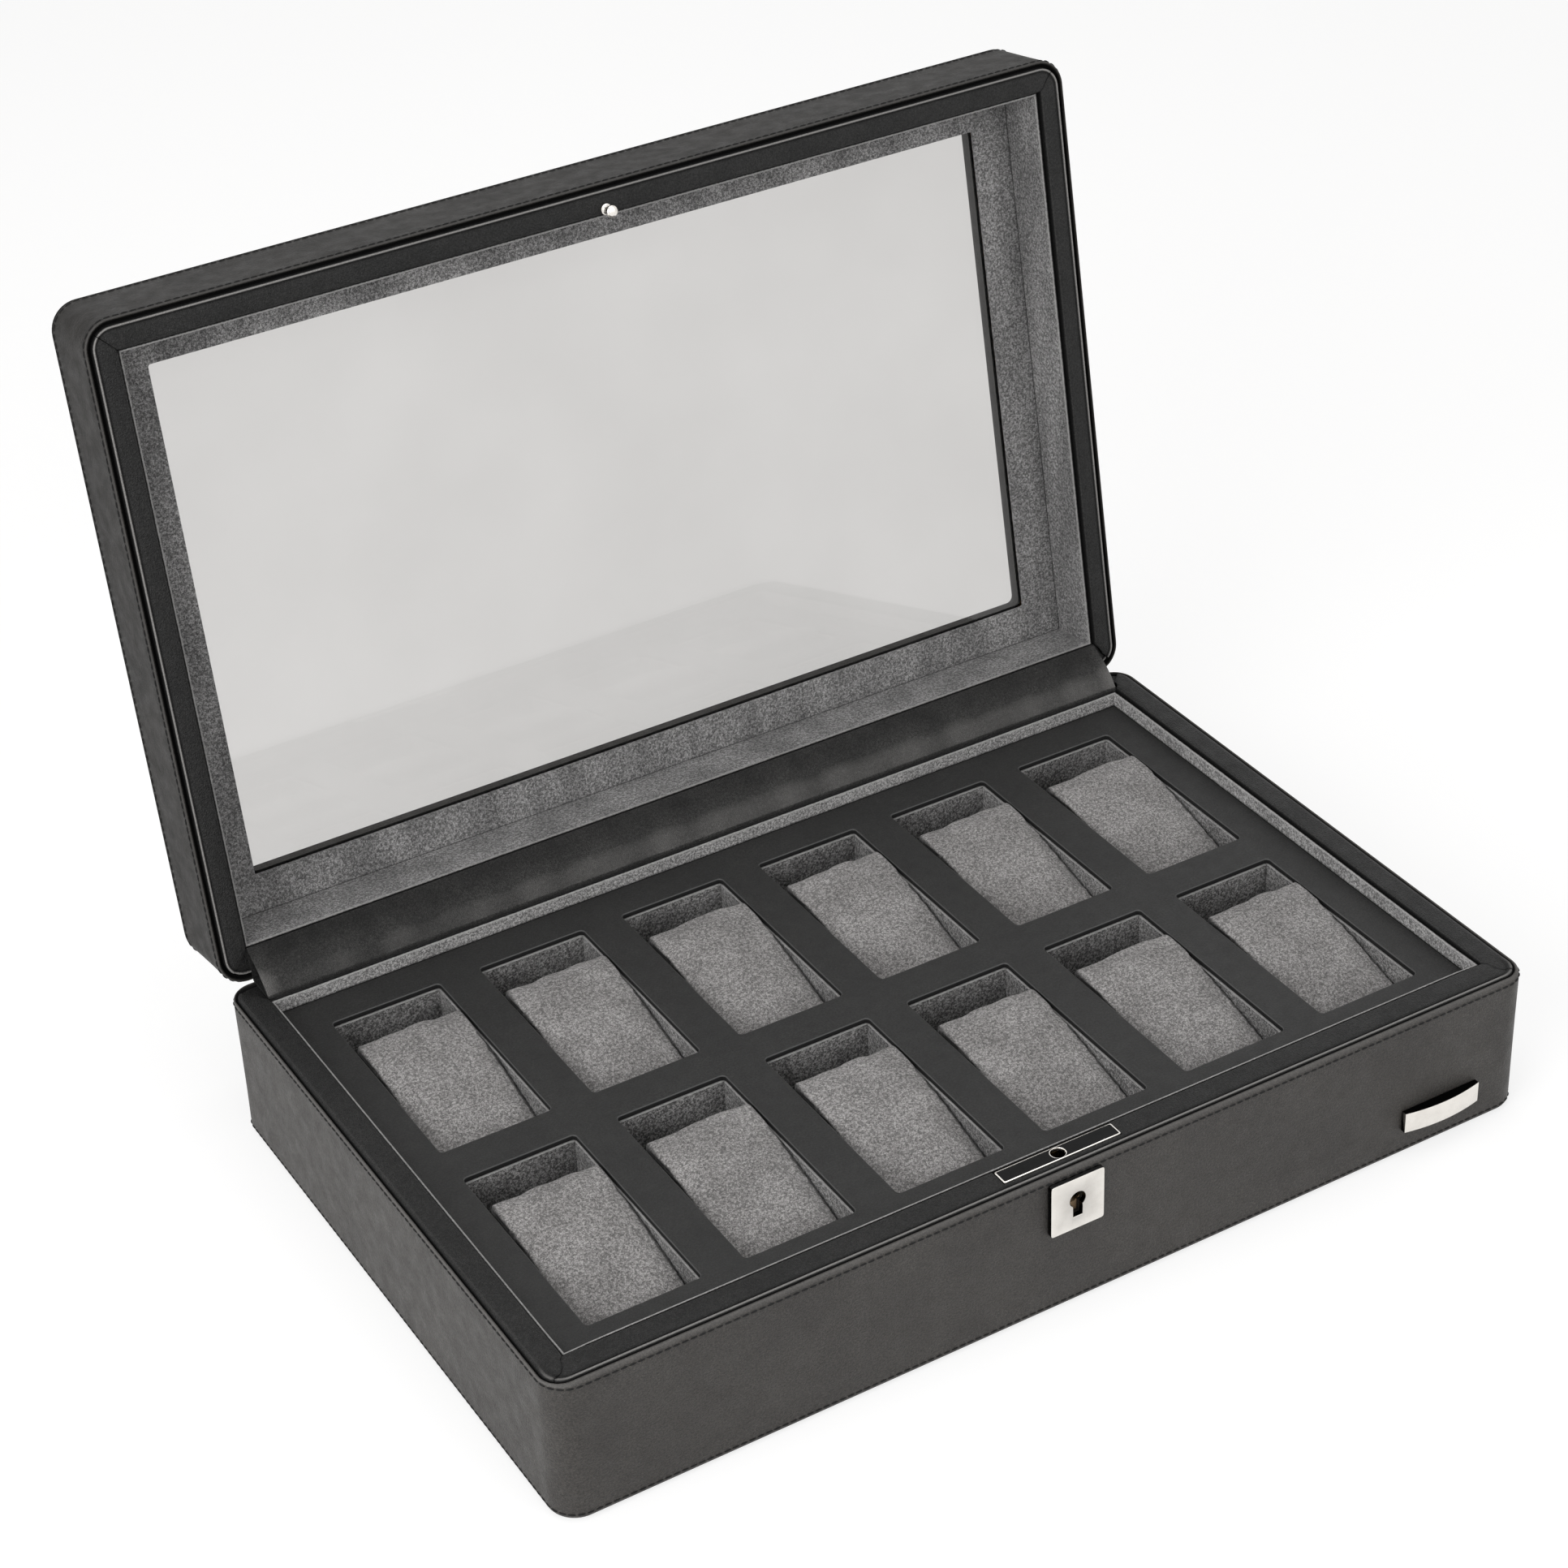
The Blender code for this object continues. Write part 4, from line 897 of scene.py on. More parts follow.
# ---- stitches --------------------------------------------------------------------------------
@dataclass(frozen=True)
class Stitching:
    """Rows of dark thread: slim grains of a few dozen faces, laid end to end along a line."""

    pitch: float = 3.0
    half_length: float = 1.2
    half_width: float = 0.36
    proud: float = 0.1

    def row(self, line: Array, outward: Array) -> Surface:
        """Lay stitches along a closed line.

        Each is an ellipsoid: its point at turn u and slope v is a sin v along the line plus
        b cos v cos u outward plus b cos v sin u across.

        Args:
            line: points of the closed line.
            outward: direction away from the leather at each of them.

        Returns:
            All the row's stitches as one surface.
        """
        looped = np.vstack([line, line[:1]])
        run = distances(looped)
        count = int(run[-1] // self.pitch)
        places = (np.arange(count) + 0.5) * run[-1] / count
        faced = np.vstack([outward, outward[:1]])
        centre = np.stack([np.interp(places, run, looped[:, axis]) for axis in range(3)], -1)
        normal = np.stack([np.interp(places, run, faced[:, axis]) for axis in range(3)], -1)
        later = (places + 0.3) % run[-1]
        ahead = np.stack([np.interp(later, run, looped[:, axis]) for axis in range(3)], -1)
        along = ahead - centre
        along /= np.linalg.norm(along, axis=1, keepdims=True)
        normal -= (normal * along).sum(1, keepdims=True) * along
        normal /= np.linalg.norm(normal, axis=1, keepdims=True)
        across = np.cross(along, normal)
        slope = np.radians([-72, -35, 0, 35, 72])[:, None]
        turn = np.linspace(0, 2 * math.pi, 7)[:-1][None]
        lift = self.half_length * np.sin(slope) * np.ones_like(turn)
        out = self.half_width * np.cos(slope) * np.cos(turn)
        wide = self.half_width * np.cos(slope) * np.sin(turn)
        shape = (
            lift[None, ..., None] * along[:, None, None]
            + out[None, ..., None] * normal[:, None, None]
            + wide[None, ..., None] * across[:, None, None]
        )
        grids = shape + (centre + normal * self.proud)[:, None, None]
        closed = {"wrap_columns": True, "cap_rows": True}
        return Surface.joined([Surface.from_grid(grid, **closed) for grid in grids])


def loop_normals(loop: Array) -> Array:
    """Outward directions of a closed level loop walked anticlockwise: its tangent turned right."""
    ahead = np.roll(loop, -1, axis=0) - np.roll(loop, 1, axis=0)
    normal = np.stack([ahead[:, 1], -ahead[:, 0], np.zeros(len(loop))], axis=-1)
    return normal / np.linalg.norm(normal, axis=1, keepdims=True)


# ---- base ------------------------------------------------------------------------------------
# Tones of the base sections: painted shade in the stitch grooves and in the gap under the rim band, and a
# painted highlight on the shoulder below the rim.
BOTTOM_ROWS = (
    (2.7, -54.5, 0.0), (2.7, -55.4, 0.0), (2.0, -55.4, 0.0), (1.2, -55.24, 0.0),
    (0.55, -54.75, 0.0), (0.15, -54.1, 0.0), (0.04, -53.5, 0.0), (0.14, -53.1, -0.12),
    (0.02, -52.6, 0.0), (0.0, -51.4, 0.0), (0.0, -40.0, 0.0), (0.0, -20.0, 0.0),
)
BASE_SKIN = Section(
    plain=BOTTOM_ROWS
    + (
        (0.0, -4.0, 0.0), (0.0, -2.5, 0.0), (0.03, -2.1, 0.0), (0.14, -1.75, -0.12),
        (0.10, -1.4, 0.0), (0.14, -1.15, 0.16), (0.36, -0.85, 0.25), (0.66, -0.72, 0.12),
        (0.96, -0.78, 0.0), (1.16, -1.05, -0.8), (1.2, -2.4, -1.0), (3.3, -2.45, -1.0),
        (1.3, -40.0, -1.0),
    ),
    front=BOTTOM_ROWS
    + (
        (0.0, -4.2, 0.0), (0.0, -2.7, 0.0), (0.03, -2.35, 0.0), (0.18, -2.0, -0.12),
        (0.30, -1.7, -0.15), (0.62, -1.3, 0.05), (1.15, -0.95, 0.10), (1.80, -0.70, 0.17),
        (2.35, -0.62, 0.04), (2.72, -0.85, -0.8), (2.85, -2.4, -1.0), (4.2, -2.45, -1.0),
        (1.3, -40.0, -1.0),
    ),
)

# Tones of the band sections: painted shade on the hidden sides, the inner side and in the groove behind the
# front bead, and a painted highlight along the bead's crest.
BAND_SIDE = (
    (1.8, -2.6, -1.0), (1.8, -1.6, -1.0), (1.86, -1.0, -0.8), (2.05, -0.55, -0.2),
    (2.4, -0.24, 0.0), (2.9, -0.07, 0.04), (3.5, -0.01, 0.0), (4.2, 0.0, 0.0), (5.0, 0.0, 0.0),
    (6.0, 0.0, 0.0), (8.0, 0.0, 0.0),
)
BAND_BEAD = (
    (3.15, -2.6, -1.0), (3.15, -0.9, -1.0), (3.2, -0.42, -0.2), (3.42, -0.1, 0.55),
    (3.75, 0.0, 0.8), (4.06, -0.12, 0.4), (4.26, -0.42, -0.5), (4.66, -0.66, -1.0),
    (5.05, -0.40, -0.3), (5.6, -0.12, 0.0), (8.0, 0.0, 0.0),
)
BAND_INNER = (
    (-1.5, 0.0, 0.0), (-0.7, -0.06, 0.0), (-0.25, -0.2, 0.05), (-0.04, -0.5, -0.4),
    (0.0, -1.0, -1.0), (0.0, -2.4, -1.0), (0.95, -2.45, -1.0), (0.95, -2.6, -1.0),
)


def band(
    side: Side, outer: dict[Side, Sequence[Row]], widths: dict[Side, float], drop: float
) -> tuple[Array, Array]:
    """One mitred length of rim leather over its padding, as a grid round the section.

    Rows go round the section, columns along the side from mitre to mitre. The leather sinks
    towards both mitres by s exp(-(d/w)^2), so that the seam shows as a shallow valley.

    Args:
        side: which side of the case.
        outer: outer part of the section on each side, as (inset, height, tone).
        widths: inset of the inner edge on each side.
        drop: how much lower the rear length lies.

    Returns:
        Points shaped rows by columns by three, heights from the rim, and the tone of each.
    """
    sections = {
        word: np.vstack([outer[word], np.array(BAND_INNER) + (widths[word], 0, 0)]) for word in outer
    }
    left, front, rear, right = (
        sections[word][:, 0] for word in (Side.LEFT, Side.FRONT, Side.REAR, Side.RIGHT)
    )
    flat = CASE.rows(left, front, rear, CORNER_ENDS + 0.12, 60, right)[:, side.value]
    along = distances(flat[4])
    from_end = np.minimum(along, along[-1] - along)
    plain, front = sections[Side.LEFT][:, 1:], sections[Side.FRONT][:, 1:]
    share = eased(FRONT_ONLY, side, flat[4], CORNER_REACH)[None, :, None]
    height, tone = np.moveaxis(plain[:, None] + share * (front - plain)[:, None], -1, 0)
    top = np.clip((height + 1.2) / 0.8, 0, 1)
    valley = 0.10 * bell(from_end / 0.5) + 0.10 * bell(from_end / 3.0)
    tone = tone - 0.25 * bell(from_end / 0.3)[None]
    height = height - drop * (side is Side.REAR) - top * valley[None]
    return with_height(flat, height), np.clip(tone, -1, 1)


def lining_rows(low: float, high: float, joint: float) -> Array:
    """Section of a glued suede lining, 1 mm thick, with its cut edge at the second height.

    Args:
        low: height of the hidden edge.
        high: height of the cut edge.
        joint: height at which something meets its face, with a shadow line.

    Returns:
        Rows of inset, height, tone and the share of a lift that the row takes.
    """
    up = 1.0 if high > low else -1.0
    # Tones: painted shade on the hidden faces and at the joint, and the pale cut edge of the suede.
    return np.array(
        [
            (0.0, low, -1.0, 0.0), (0.0, high - 0.5 * up, -1.0, 1.0), (0.1, high, -1.0, 1.0),
            (0.4, high, -0.7, 1.0), (0.55, high, 0.8, 1.0), (0.9, high, 1.0, 1.0),
            (1.0, high - 0.12 * up, 0.7, 1.0), (1.0, high - 0.6 * up, 0.1, 1.0),
            (1.0, high - 1.2 * up, 0.0, 1.0), (1.0, joint + 0.9 * up, 0.0, 0.0),
            (1.0, joint + 0.3 * up, -0.5, 0.0), (1.0, joint, -1.0, 0.0), (1.0, low, -1.0, 0.0),
        ]
    )


# Half width, low and high edge of the two cuts behind the keyhole, and their depth range.
KEYHOLE_CUTS = ((1.9, 37.8, 44.7), (3.1, 41.9, 47.5))
CUT_FRONT, CUT_BACK = -121.0, -110.0


@dataclass
class BaseCovering:
    """Side leather, rim bands, lining and stitching of the base."""

    builder: Builder
    widths: dict[Side, float] = field(
        default_factory=lambda: {Side.FRONT: 13.4, Side.RIGHT: 10.6, Side.REAR: 12.6, Side.LEFT: 11.1}
    )
    lining_lift: dict[Side, float] = field(
        default_factory=lambda: {Side.FRONT: 0.95, Side.RIGHT: 0.35, Side.REAR: 0.0, Side.LEFT: 0.25}
    )

    def build(self) -> None:
        """Make every piece of the covering."""
        self.skin()
        self.bands()
        self.lining()
        self.stitches()

    def skin(self) -> None:
        """Side leather: the section carried round the case, with faint waves on its faces."""
        grid, tone = BASE_SKIN.loops(CASE.rim_z)
        grid = waved(grid, low=4, high=50, ease=8, seed=3)
        mesh = Surface.from_grid(grid, **RING, tone=tone).mesh("side_leather", 60)
        for half, low, high in KEYHOLE_CUTS:
            mesh = self.builder.carve(mesh, (-half, CUT_FRONT, low), (half, CUT_BACK, high))
        nodes = ("side_leather",)
        self.builder.add("side_leather_skin", mesh, "smooth", Slot.SMOOTH_LEATHER, "base", nodes)

    def bands(self) -> None:
        """Four rim bands, the front one notched for the lock plate."""
        outer = {side: BAND_BEAD if side is Side.FRONT else BAND_SIDE for side in Side}
        for side in Side:
            word = side.name.lower()
            grid, tone = band(side, outer, self.widths, CASE.rear_drop)
            grid[..., 2] += CASE.rim_z
            grid[..., 2] += ripple(grid, BAND_WAVES, side.value) - 0.05
            surface = Surface.from_grid(grid, wrap_rows=True, cap_columns=True, tone=tone)
            mesh = surface.mesh(f"rim_{word}", 50)
            if side is Side.FRONT:
                mesh = self.builder.carve(mesh, (-22.7, -113.35, 50.0), (22.7, -104.0, 58.0))
            nodes = (f"rim_leather_{word}",)
            self.builder.add(f"rim_band_{word}", mesh, "rim", Slot.RIM_LEATHER, "base", nodes)

    def lining(self) -> None:
        """Suede on the walls: a thin closed ring whose cut edge is pale and dips along the rear."""
        inset, height, tone, lifted = lining_rows(5.8, 54.05, 48.8).T
        flat = CASE.rows(11.4 + inset, 13.8 + inset, 12.9 + inset, SMALL_ENDS, 60)
        lift = side_share(self.lining_lift, flat[0])
        height = height[:, None, None] + lifted[:, None, None] * lift[None]
        grid = closed_loops(with_height(flat, height))
        mesh = Surface.from_grid(grid, True, True, tone=tone).mesh("lining", 70)
        # The base's walls take the lighter copy of the suede: painted light.
        self.builder.add("wall_suede", mesh, "wall", Slot.SUEDE, "base", ("wall_lining",))

    def stitches(self) -> None:
        """Two rows of stitches, one under the rim and one above the underside."""
        loops, _ = BASE_SKIN.loops(CASE.rim_z)
        kind = Stitching()
        rows = [kind.row(loops[index], loop_normals(loops[index])) for index in (7, 15)]
        mesh = Surface.joined(rows).mesh("stitches", 80, 1e-6)
        self.builder.add("side_stitching", mesh, "thread", Slot.SMOOTH_LEATHER, "base")


@dataclass
class Tray:
    """Tray plate with its twelve openings, in millimetres."""

    builder: Builder
    top: float = 48.8
    plate: float = 2.0
    opening_x: float = 40.8
    opening_y: float = 83.2
    step_x: float = 56.3
    step_y: float = 98.8
    middle_y: float = -0.6
    radius: float = 1.5
    reach: tuple[float, float, float, float] = (-174.8, 174.8, -104.2, 105.1)

    def wells(self) -> list[tuple[float, float, str]]:
        """Middle of each opening and its name, front row first, left to right."""
        places = []
        for row, word in enumerate(("front", "rear")):
            y = self.middle_y + (row - 0.5) * self.step_y
            places += [((place - 2.5) * self.step_x, y, f"{word}_{place + 1}") for place in range(6)]
        return places

    def cell(self, x: float, y: float) -> Surface:
        """The plate round one opening.

        Loops go from the cell's border over the top, down a rolled edge into the opening, and
        back underneath. The roll is a quarter circle in four steps.

        Args:
            x: middle of the opening.
            y: middle of the opening.

        Returns:
            A surface open along the cell's border, where its neighbours join on.
        """
        half_x, half_y = self.opening_x / 2, self.opening_y / 2
        low_x = self.reach[0] if x < -2 * self.step_x else x - self.step_x / 2
        high_x = self.reach[1] if x > 2 * self.step_x else x + self.step_x / 2
        low_y = self.reach[2] if y < self.middle_y else self.middle_y
        high_y = self.reach[3] if y > self.middle_y else self.middle_y
        roll = np.radians(np.linspace(90, 0, 5))
        grow = np.concatenate([[2.5, 0.9], 0.5 - 0.5 * np.cos(roll), [0.0, 0.0, 0.3]])
        fall = np.concatenate([[0.0, 0.0], 0.5 - 0.5 * np.sin(roll), [1.0, 1.9, 2.0]])
        wide, deep = half_x + grow, half_y + grow
        rects = np.stack([x - wide, x + wide, y - deep, y + deep], -1)
        border = np.array([[low_x, high_x, low_y, high_y]])
        rects = np.vstack([border, rects, border])
        radii = np.concatenate([[0.0], self.radius + grow, [0.0]])
        heights = np.concatenate([[self.top], self.top - fall, [self.top - self.plate]])
        grid = with_height(closed_loops(side_rows(rects, radii, SMALL_ENDS, 14)), heights)
        # Tones: a painted highlight along the rolled edge, and painted shade down into the opening and
        # underneath.
        tone = np.array([0.0, 0.0, 0.0, 0.0, 0.1, 0.35, 0.1, -0.6, -1.0, -1.0, -1.0, -1.0])
        return Surface.from_grid(grid, wrap_columns=True, tone=tone)

    def build(self) -> None:
        """Join the twelve cells, close the plate's edge and leave a rolled rim on each opening."""
        cells = [self.cell(x, y) for x, y, _ in self.wells()]
        mesh = Surface.joined(cells).mesh("tray", 50, 0.01)
        work = bmesh.new()
        work.from_mesh(mesh)
        open_edges = [edge for edge in work.edges if edge.is_boundary]
        bmesh.ops.bridge_loops(work, edges=open_edges)
        bmesh.ops.recalc_face_normals(work, faces=work.faces)
        work.to_mesh(mesh)
        work.free()
        mesh.shade_smooth()
        mesh.set_sharp_from_angle(angle=math.radians(50))
        self.builder.add("tray_skin", mesh, "tray", Slot.TRAY_LEATHER, "base", ("tray_plate",))


# ---- cushions --------------------------------------------------------------------------------
@dataclass
class Cushions:
    """Twelve suede cushions, each a crowned, stuffed form that falls towards the front."""

    builder: Builder
    tray: Tray
    half_width: float = 19.9
    length: float = 65.0
    height: float = 43.0
    fall: float = 13.5
    fall_power: float = 1.7
    crown: float = 0.9
    foot_z: float = 7.1
    front_gap: float = 0.7
    voxel: float = 1.2
    cap: float = 0.8
    edge: float = 0.6
    steps: int = 20

    def blank(self, seed: int) -> Array:
        """Points of one cushion, about the middle of its opening and up from its foot.

        Columns go round the side view, rows across the width. The side view is the foot, the
        rounded front, the crest height - fall s^power with s the share of the way forward, and
        the back. Its edges shrink by a quarter circle towards each side, and the sides draw in
        between the corners by a sine.

        Args:
            seed: chooses the unevenness of this cushion.

        Returns:
            Points shaped rows by columns by three, in millimetres.
        """
        front, back = -self.length / 2, self.length / 2

        def crest(y: Array) -> Array:
            """Height of the top along the cushion: h - fall ((back - y) / length)^power."""
            return self.height - self.fall * ((back - y) / self.length) ** self.fall_power

        nose, rear, foot = 7.0, 0.8, 3.0
        turn = np.radians(np.linspace(180, 100, 7))
        y_nose = front + nose + nose * np.cos(turn)
        z_nose = crest(np.array([front + nose]))[0] - nose + nose * np.sin(turn)
        y_top = np.linspace(front + nose, back - rear, 26)[1:-1]
        turn_back = np.radians(np.linspace(80, 0, 5))
        y_rear = back - rear + rear * np.cos(turn_back)
        z_rear = crest(np.array([back - rear]))[0] - rear + rear * np.sin(turn_back)
        down = np.linspace(z_rear[-1], foot, 14)[1:]
        up = np.linspace(foot, z_nose[0], 10)[:-1]
        bottom = np.linspace(back - foot, front + foot, 20)
        behind, ahead = np.full(len(down), back), np.full(len(up), front)
        y = np.concatenate([y_nose, y_top, y_rear, behind, bottom, ahead])
        z = np.concatenate([z_nose, crest(y_top), z_rear, down, np.zeros(len(bottom)), up])
        across = np.sin(np.linspace(-math.pi / 2, math.pi / 2, 27))
        from_side = self.half_width * (1 - np.abs(across))
        inside = np.maximum(self.edge - from_side, 0.0)
        sunk = self.edge - np.sqrt(np.maximum(self.edge**2 - inside**2, 0.0))
        middle_z = self.height / 2
        share_y, share_z = y / (self.length / 2), (z - middle_z) / middle_z
        full_y, full_z = np.clip(1 - share_y**2, 0, 1), np.clip(1 - share_z**2, 0, 1)
        draw = 0.5 * full_y * full_z + 0.25 * full_y
        x_points = across[:, None] * (self.half_width - draw[None])
        y_points = y[None] - sunk[:, None] * np.clip(share_y * 1.6, -1, 1)[None]
        lift = self.crown * (1 - across[:, None] ** 2) * np.clip(z / self.height, 0, 1)[None] ** 2
        z_points = z[None] + lift - sunk[:, None] * np.clip(share_z * 1.6, -1, 1)[None]
        grid = np.stack(np.broadcast_arrays(x_points, y_points, z_points), axis=-1)
        waves = ((31.0, 47.0, 90.0, 0.28), (13.0, 29.0, 60.0, 0.14), (57.0, 21.0, 70.0, 0.12))
        top = np.clip((grid[..., 2] - 24) / 8, 0, 1) * np.clip((19.9 - np.abs(grid[..., 0])) / 3, 0, 1)
        grid[..., 2] += top * (ripple(grid, waves, seed) - 0.35)
        return grid

    def stuffed(self, mesh: Mesh) -> Mesh:
        """Swell a closed mesh as cloth under air pressure, with a cap on how far a point moves.

        Args:
            mesh: the cushion as cut, in metres.

        Returns:
            The swollen mesh, remeshed to even faces.
        """
        scene = bpy.context.scene
        pad = bpy.data.objects.new("stuffing", mesh)
        scene.collection.objects.link(pad)
        remesh = pad.modifiers.new("even", "REMESH")
        remesh.mode = "VOXEL"
        remesh.voxel_size = self.voxel * MM
        depsgraph = bpy.context.evaluated_depsgraph_get()
        even = bpy.data.meshes.new_from_object(pad.evaluated_get(depsgraph))
        bpy.data.objects.remove(pad)
        before = np.empty(len(even.vertices) * 3)
        even.vertices.foreach_get("co", before)
        pad = bpy.data.objects.new("stuffing", even)
        scene.collection.objects.link(pad)
        cloth = pad.modifiers.new("cloth", "CLOTH")
        cloth.settings.use_pressure = True
        cloth.settings.uniform_pressure_force = 4.0
        cloth.settings.effector_weights.gravity = 0.0
        cloth.settings.quality = 4
        cloth.point_cache.frame_end = self.steps
        for frame in range(1, self.steps + 1):
            scene.frame_set(frame)
        evaluated = pad.evaluated_get(bpy.context.evaluated_depsgraph_get())
        swollen = bpy.data.meshes.new_from_object(evaluated)
        after = np.empty(len(swollen.vertices) * 3)
        swollen.vertices.foreach_get("co", after)
        moved = (after - before).reshape(-1, 3)
        far = np.linalg.norm(moved, axis=1, keepdims=True)
        moved *= np.minimum(1.0, self.cap * MM / np.maximum(far, 1e-12))
        swollen.vertices.foreach_set("co", (before.reshape(-1, 3) + moved).ravel())
        bpy.data.objects.remove(pad)
        scene.frame_set(1)
        return swollen

    def seamed(self, mesh: Mesh, seed: int) -> Mesh:
        """Fit a swollen cushion to its well and sew its edges.

        Points are held inside the well. Along both top side edges a seam sinks by
        0.5 exp(-(d/0.5)^2), and the suede beside it puckers by two sines along the seam, most
        near the front right. The tone paints shade along the seams, along the left edge and under
        the back edge.

        Args:
            mesh: the swollen mesh.
            seed: chooses the pucker's phase.

        Returns:
            The same mesh, changed.
        """
        count = len(mesh.vertices)
        places = np.empty(count * 3)
        mesh.vertices.foreach_get("co", places)
        points = places.reshape(-1, 3) / MM
        points[:, 0] = np.clip(points[:, 0], -20.0, 20.0)
        points[:, 1] = np.clip(points[:, 1], -self.length / 2, self.length / 2)
        points[:, 2] = np.clip(points[:, 2], 0.0, self.height + 0.9)
        share = np.clip((self.length / 2 - points[:, 1]) / self.length, 0, 1)
        crest = self.height - self.fall * share**self.fall_power
        below = crest - 1.1 - points[:, 2]
        on_side = np.clip((np.abs(points[:, 0]) - 18.6) / 0.8, 0, 1)
        seam = bell(below / 0.5) * on_side
        points[:, 0] -= np.sign(points[:, 0]) * 0.5 * seam
        beside = bell((np.abs(points[:, 0]) - 18.9) / 1.6) * np.clip(1 - np.abs(below) / 3.0, 0, 1)
        phase, depth = seed * 1.7, points[:, 1]
        pucker = np.sin(depth * 2 * math.pi / 3.4 + phase) * 0.5 + np.sin(depth * 0.9 + phase) * 0.5
        strength = 0.10 + 0.18 * smooth_step(share * 1.4 - 0.3) * (points[:, 0] > 0)
        points[:, 2] += strength * beside * pucker
        mesh.vertices.foreach_set("co", (points * MM).ravel())
        # Painted shade: dark lines along the seams, along the left edge and under the back edge, where the
        # cushion meets the well.
        on_back = np.clip((points[:, 1] - self.length / 2 + 0.5) / 0.4, 0, 1)
        on_left = np.clip((-points[:, 0] - 19.45) / 0.3, 0, 1)
        line = 1.2 * bell(below / 0.75) * on_side
        give_tone(mesh, -np.clip(np.max([line, 0.85 * on_back, 0.85 * on_left], axis=0), 0, 1))
        return mesh

    def build(self) -> None:
        """Make three masters and set twelve cushions in their wells."""
        masters = []
        for seed in (11, 24, 37):
            grid = self.blank(seed)
            surface = Surface.from_grid(grid, wrap_columns=True, cap_rows=True)
            masters.append(self.seamed(self.stuffed(surface.mesh(f"cushion_{seed}")), seed))
        for number, (x, y, word) in enumerate(self.tray.wells()):
            source = masters[(number * 2 + number // 6) % len(masters)]
            places = np.empty(len(source.vertices) * 3)
            source.vertices.foreach_get("co", places)
            points = places.reshape(-1, 3)
            front = y - self.tray.opening_y / 2 + self.front_gap
            points = points + np.array([x, front + self.length / 2, self.foot_z]) * MM
            lean = ripple(points / MM, ((70.0, 110.0, 90.0, 0.25),), number)
            points[:, 2] += lean * MM * np.clip((points[:, 2] / MM - 20) / 20, 0, 1)
            mesh = source.copy()
            mesh.name = f"cushion_{word}_mesh"
            mesh.vertices.foreach_set("co", points.ravel())
            mesh.shade_smooth()
            body = f"cushion_{word}"
            piece = self.builder.add(
                f"pad_{word}", mesh, "cushion", Slot.CUSHION_SUEDE, body, (body,)
            )
            smooth = piece.modifiers.new("smooth", "SUBSURF")
            smooth.levels = 1
            smooth.render_levels = 1


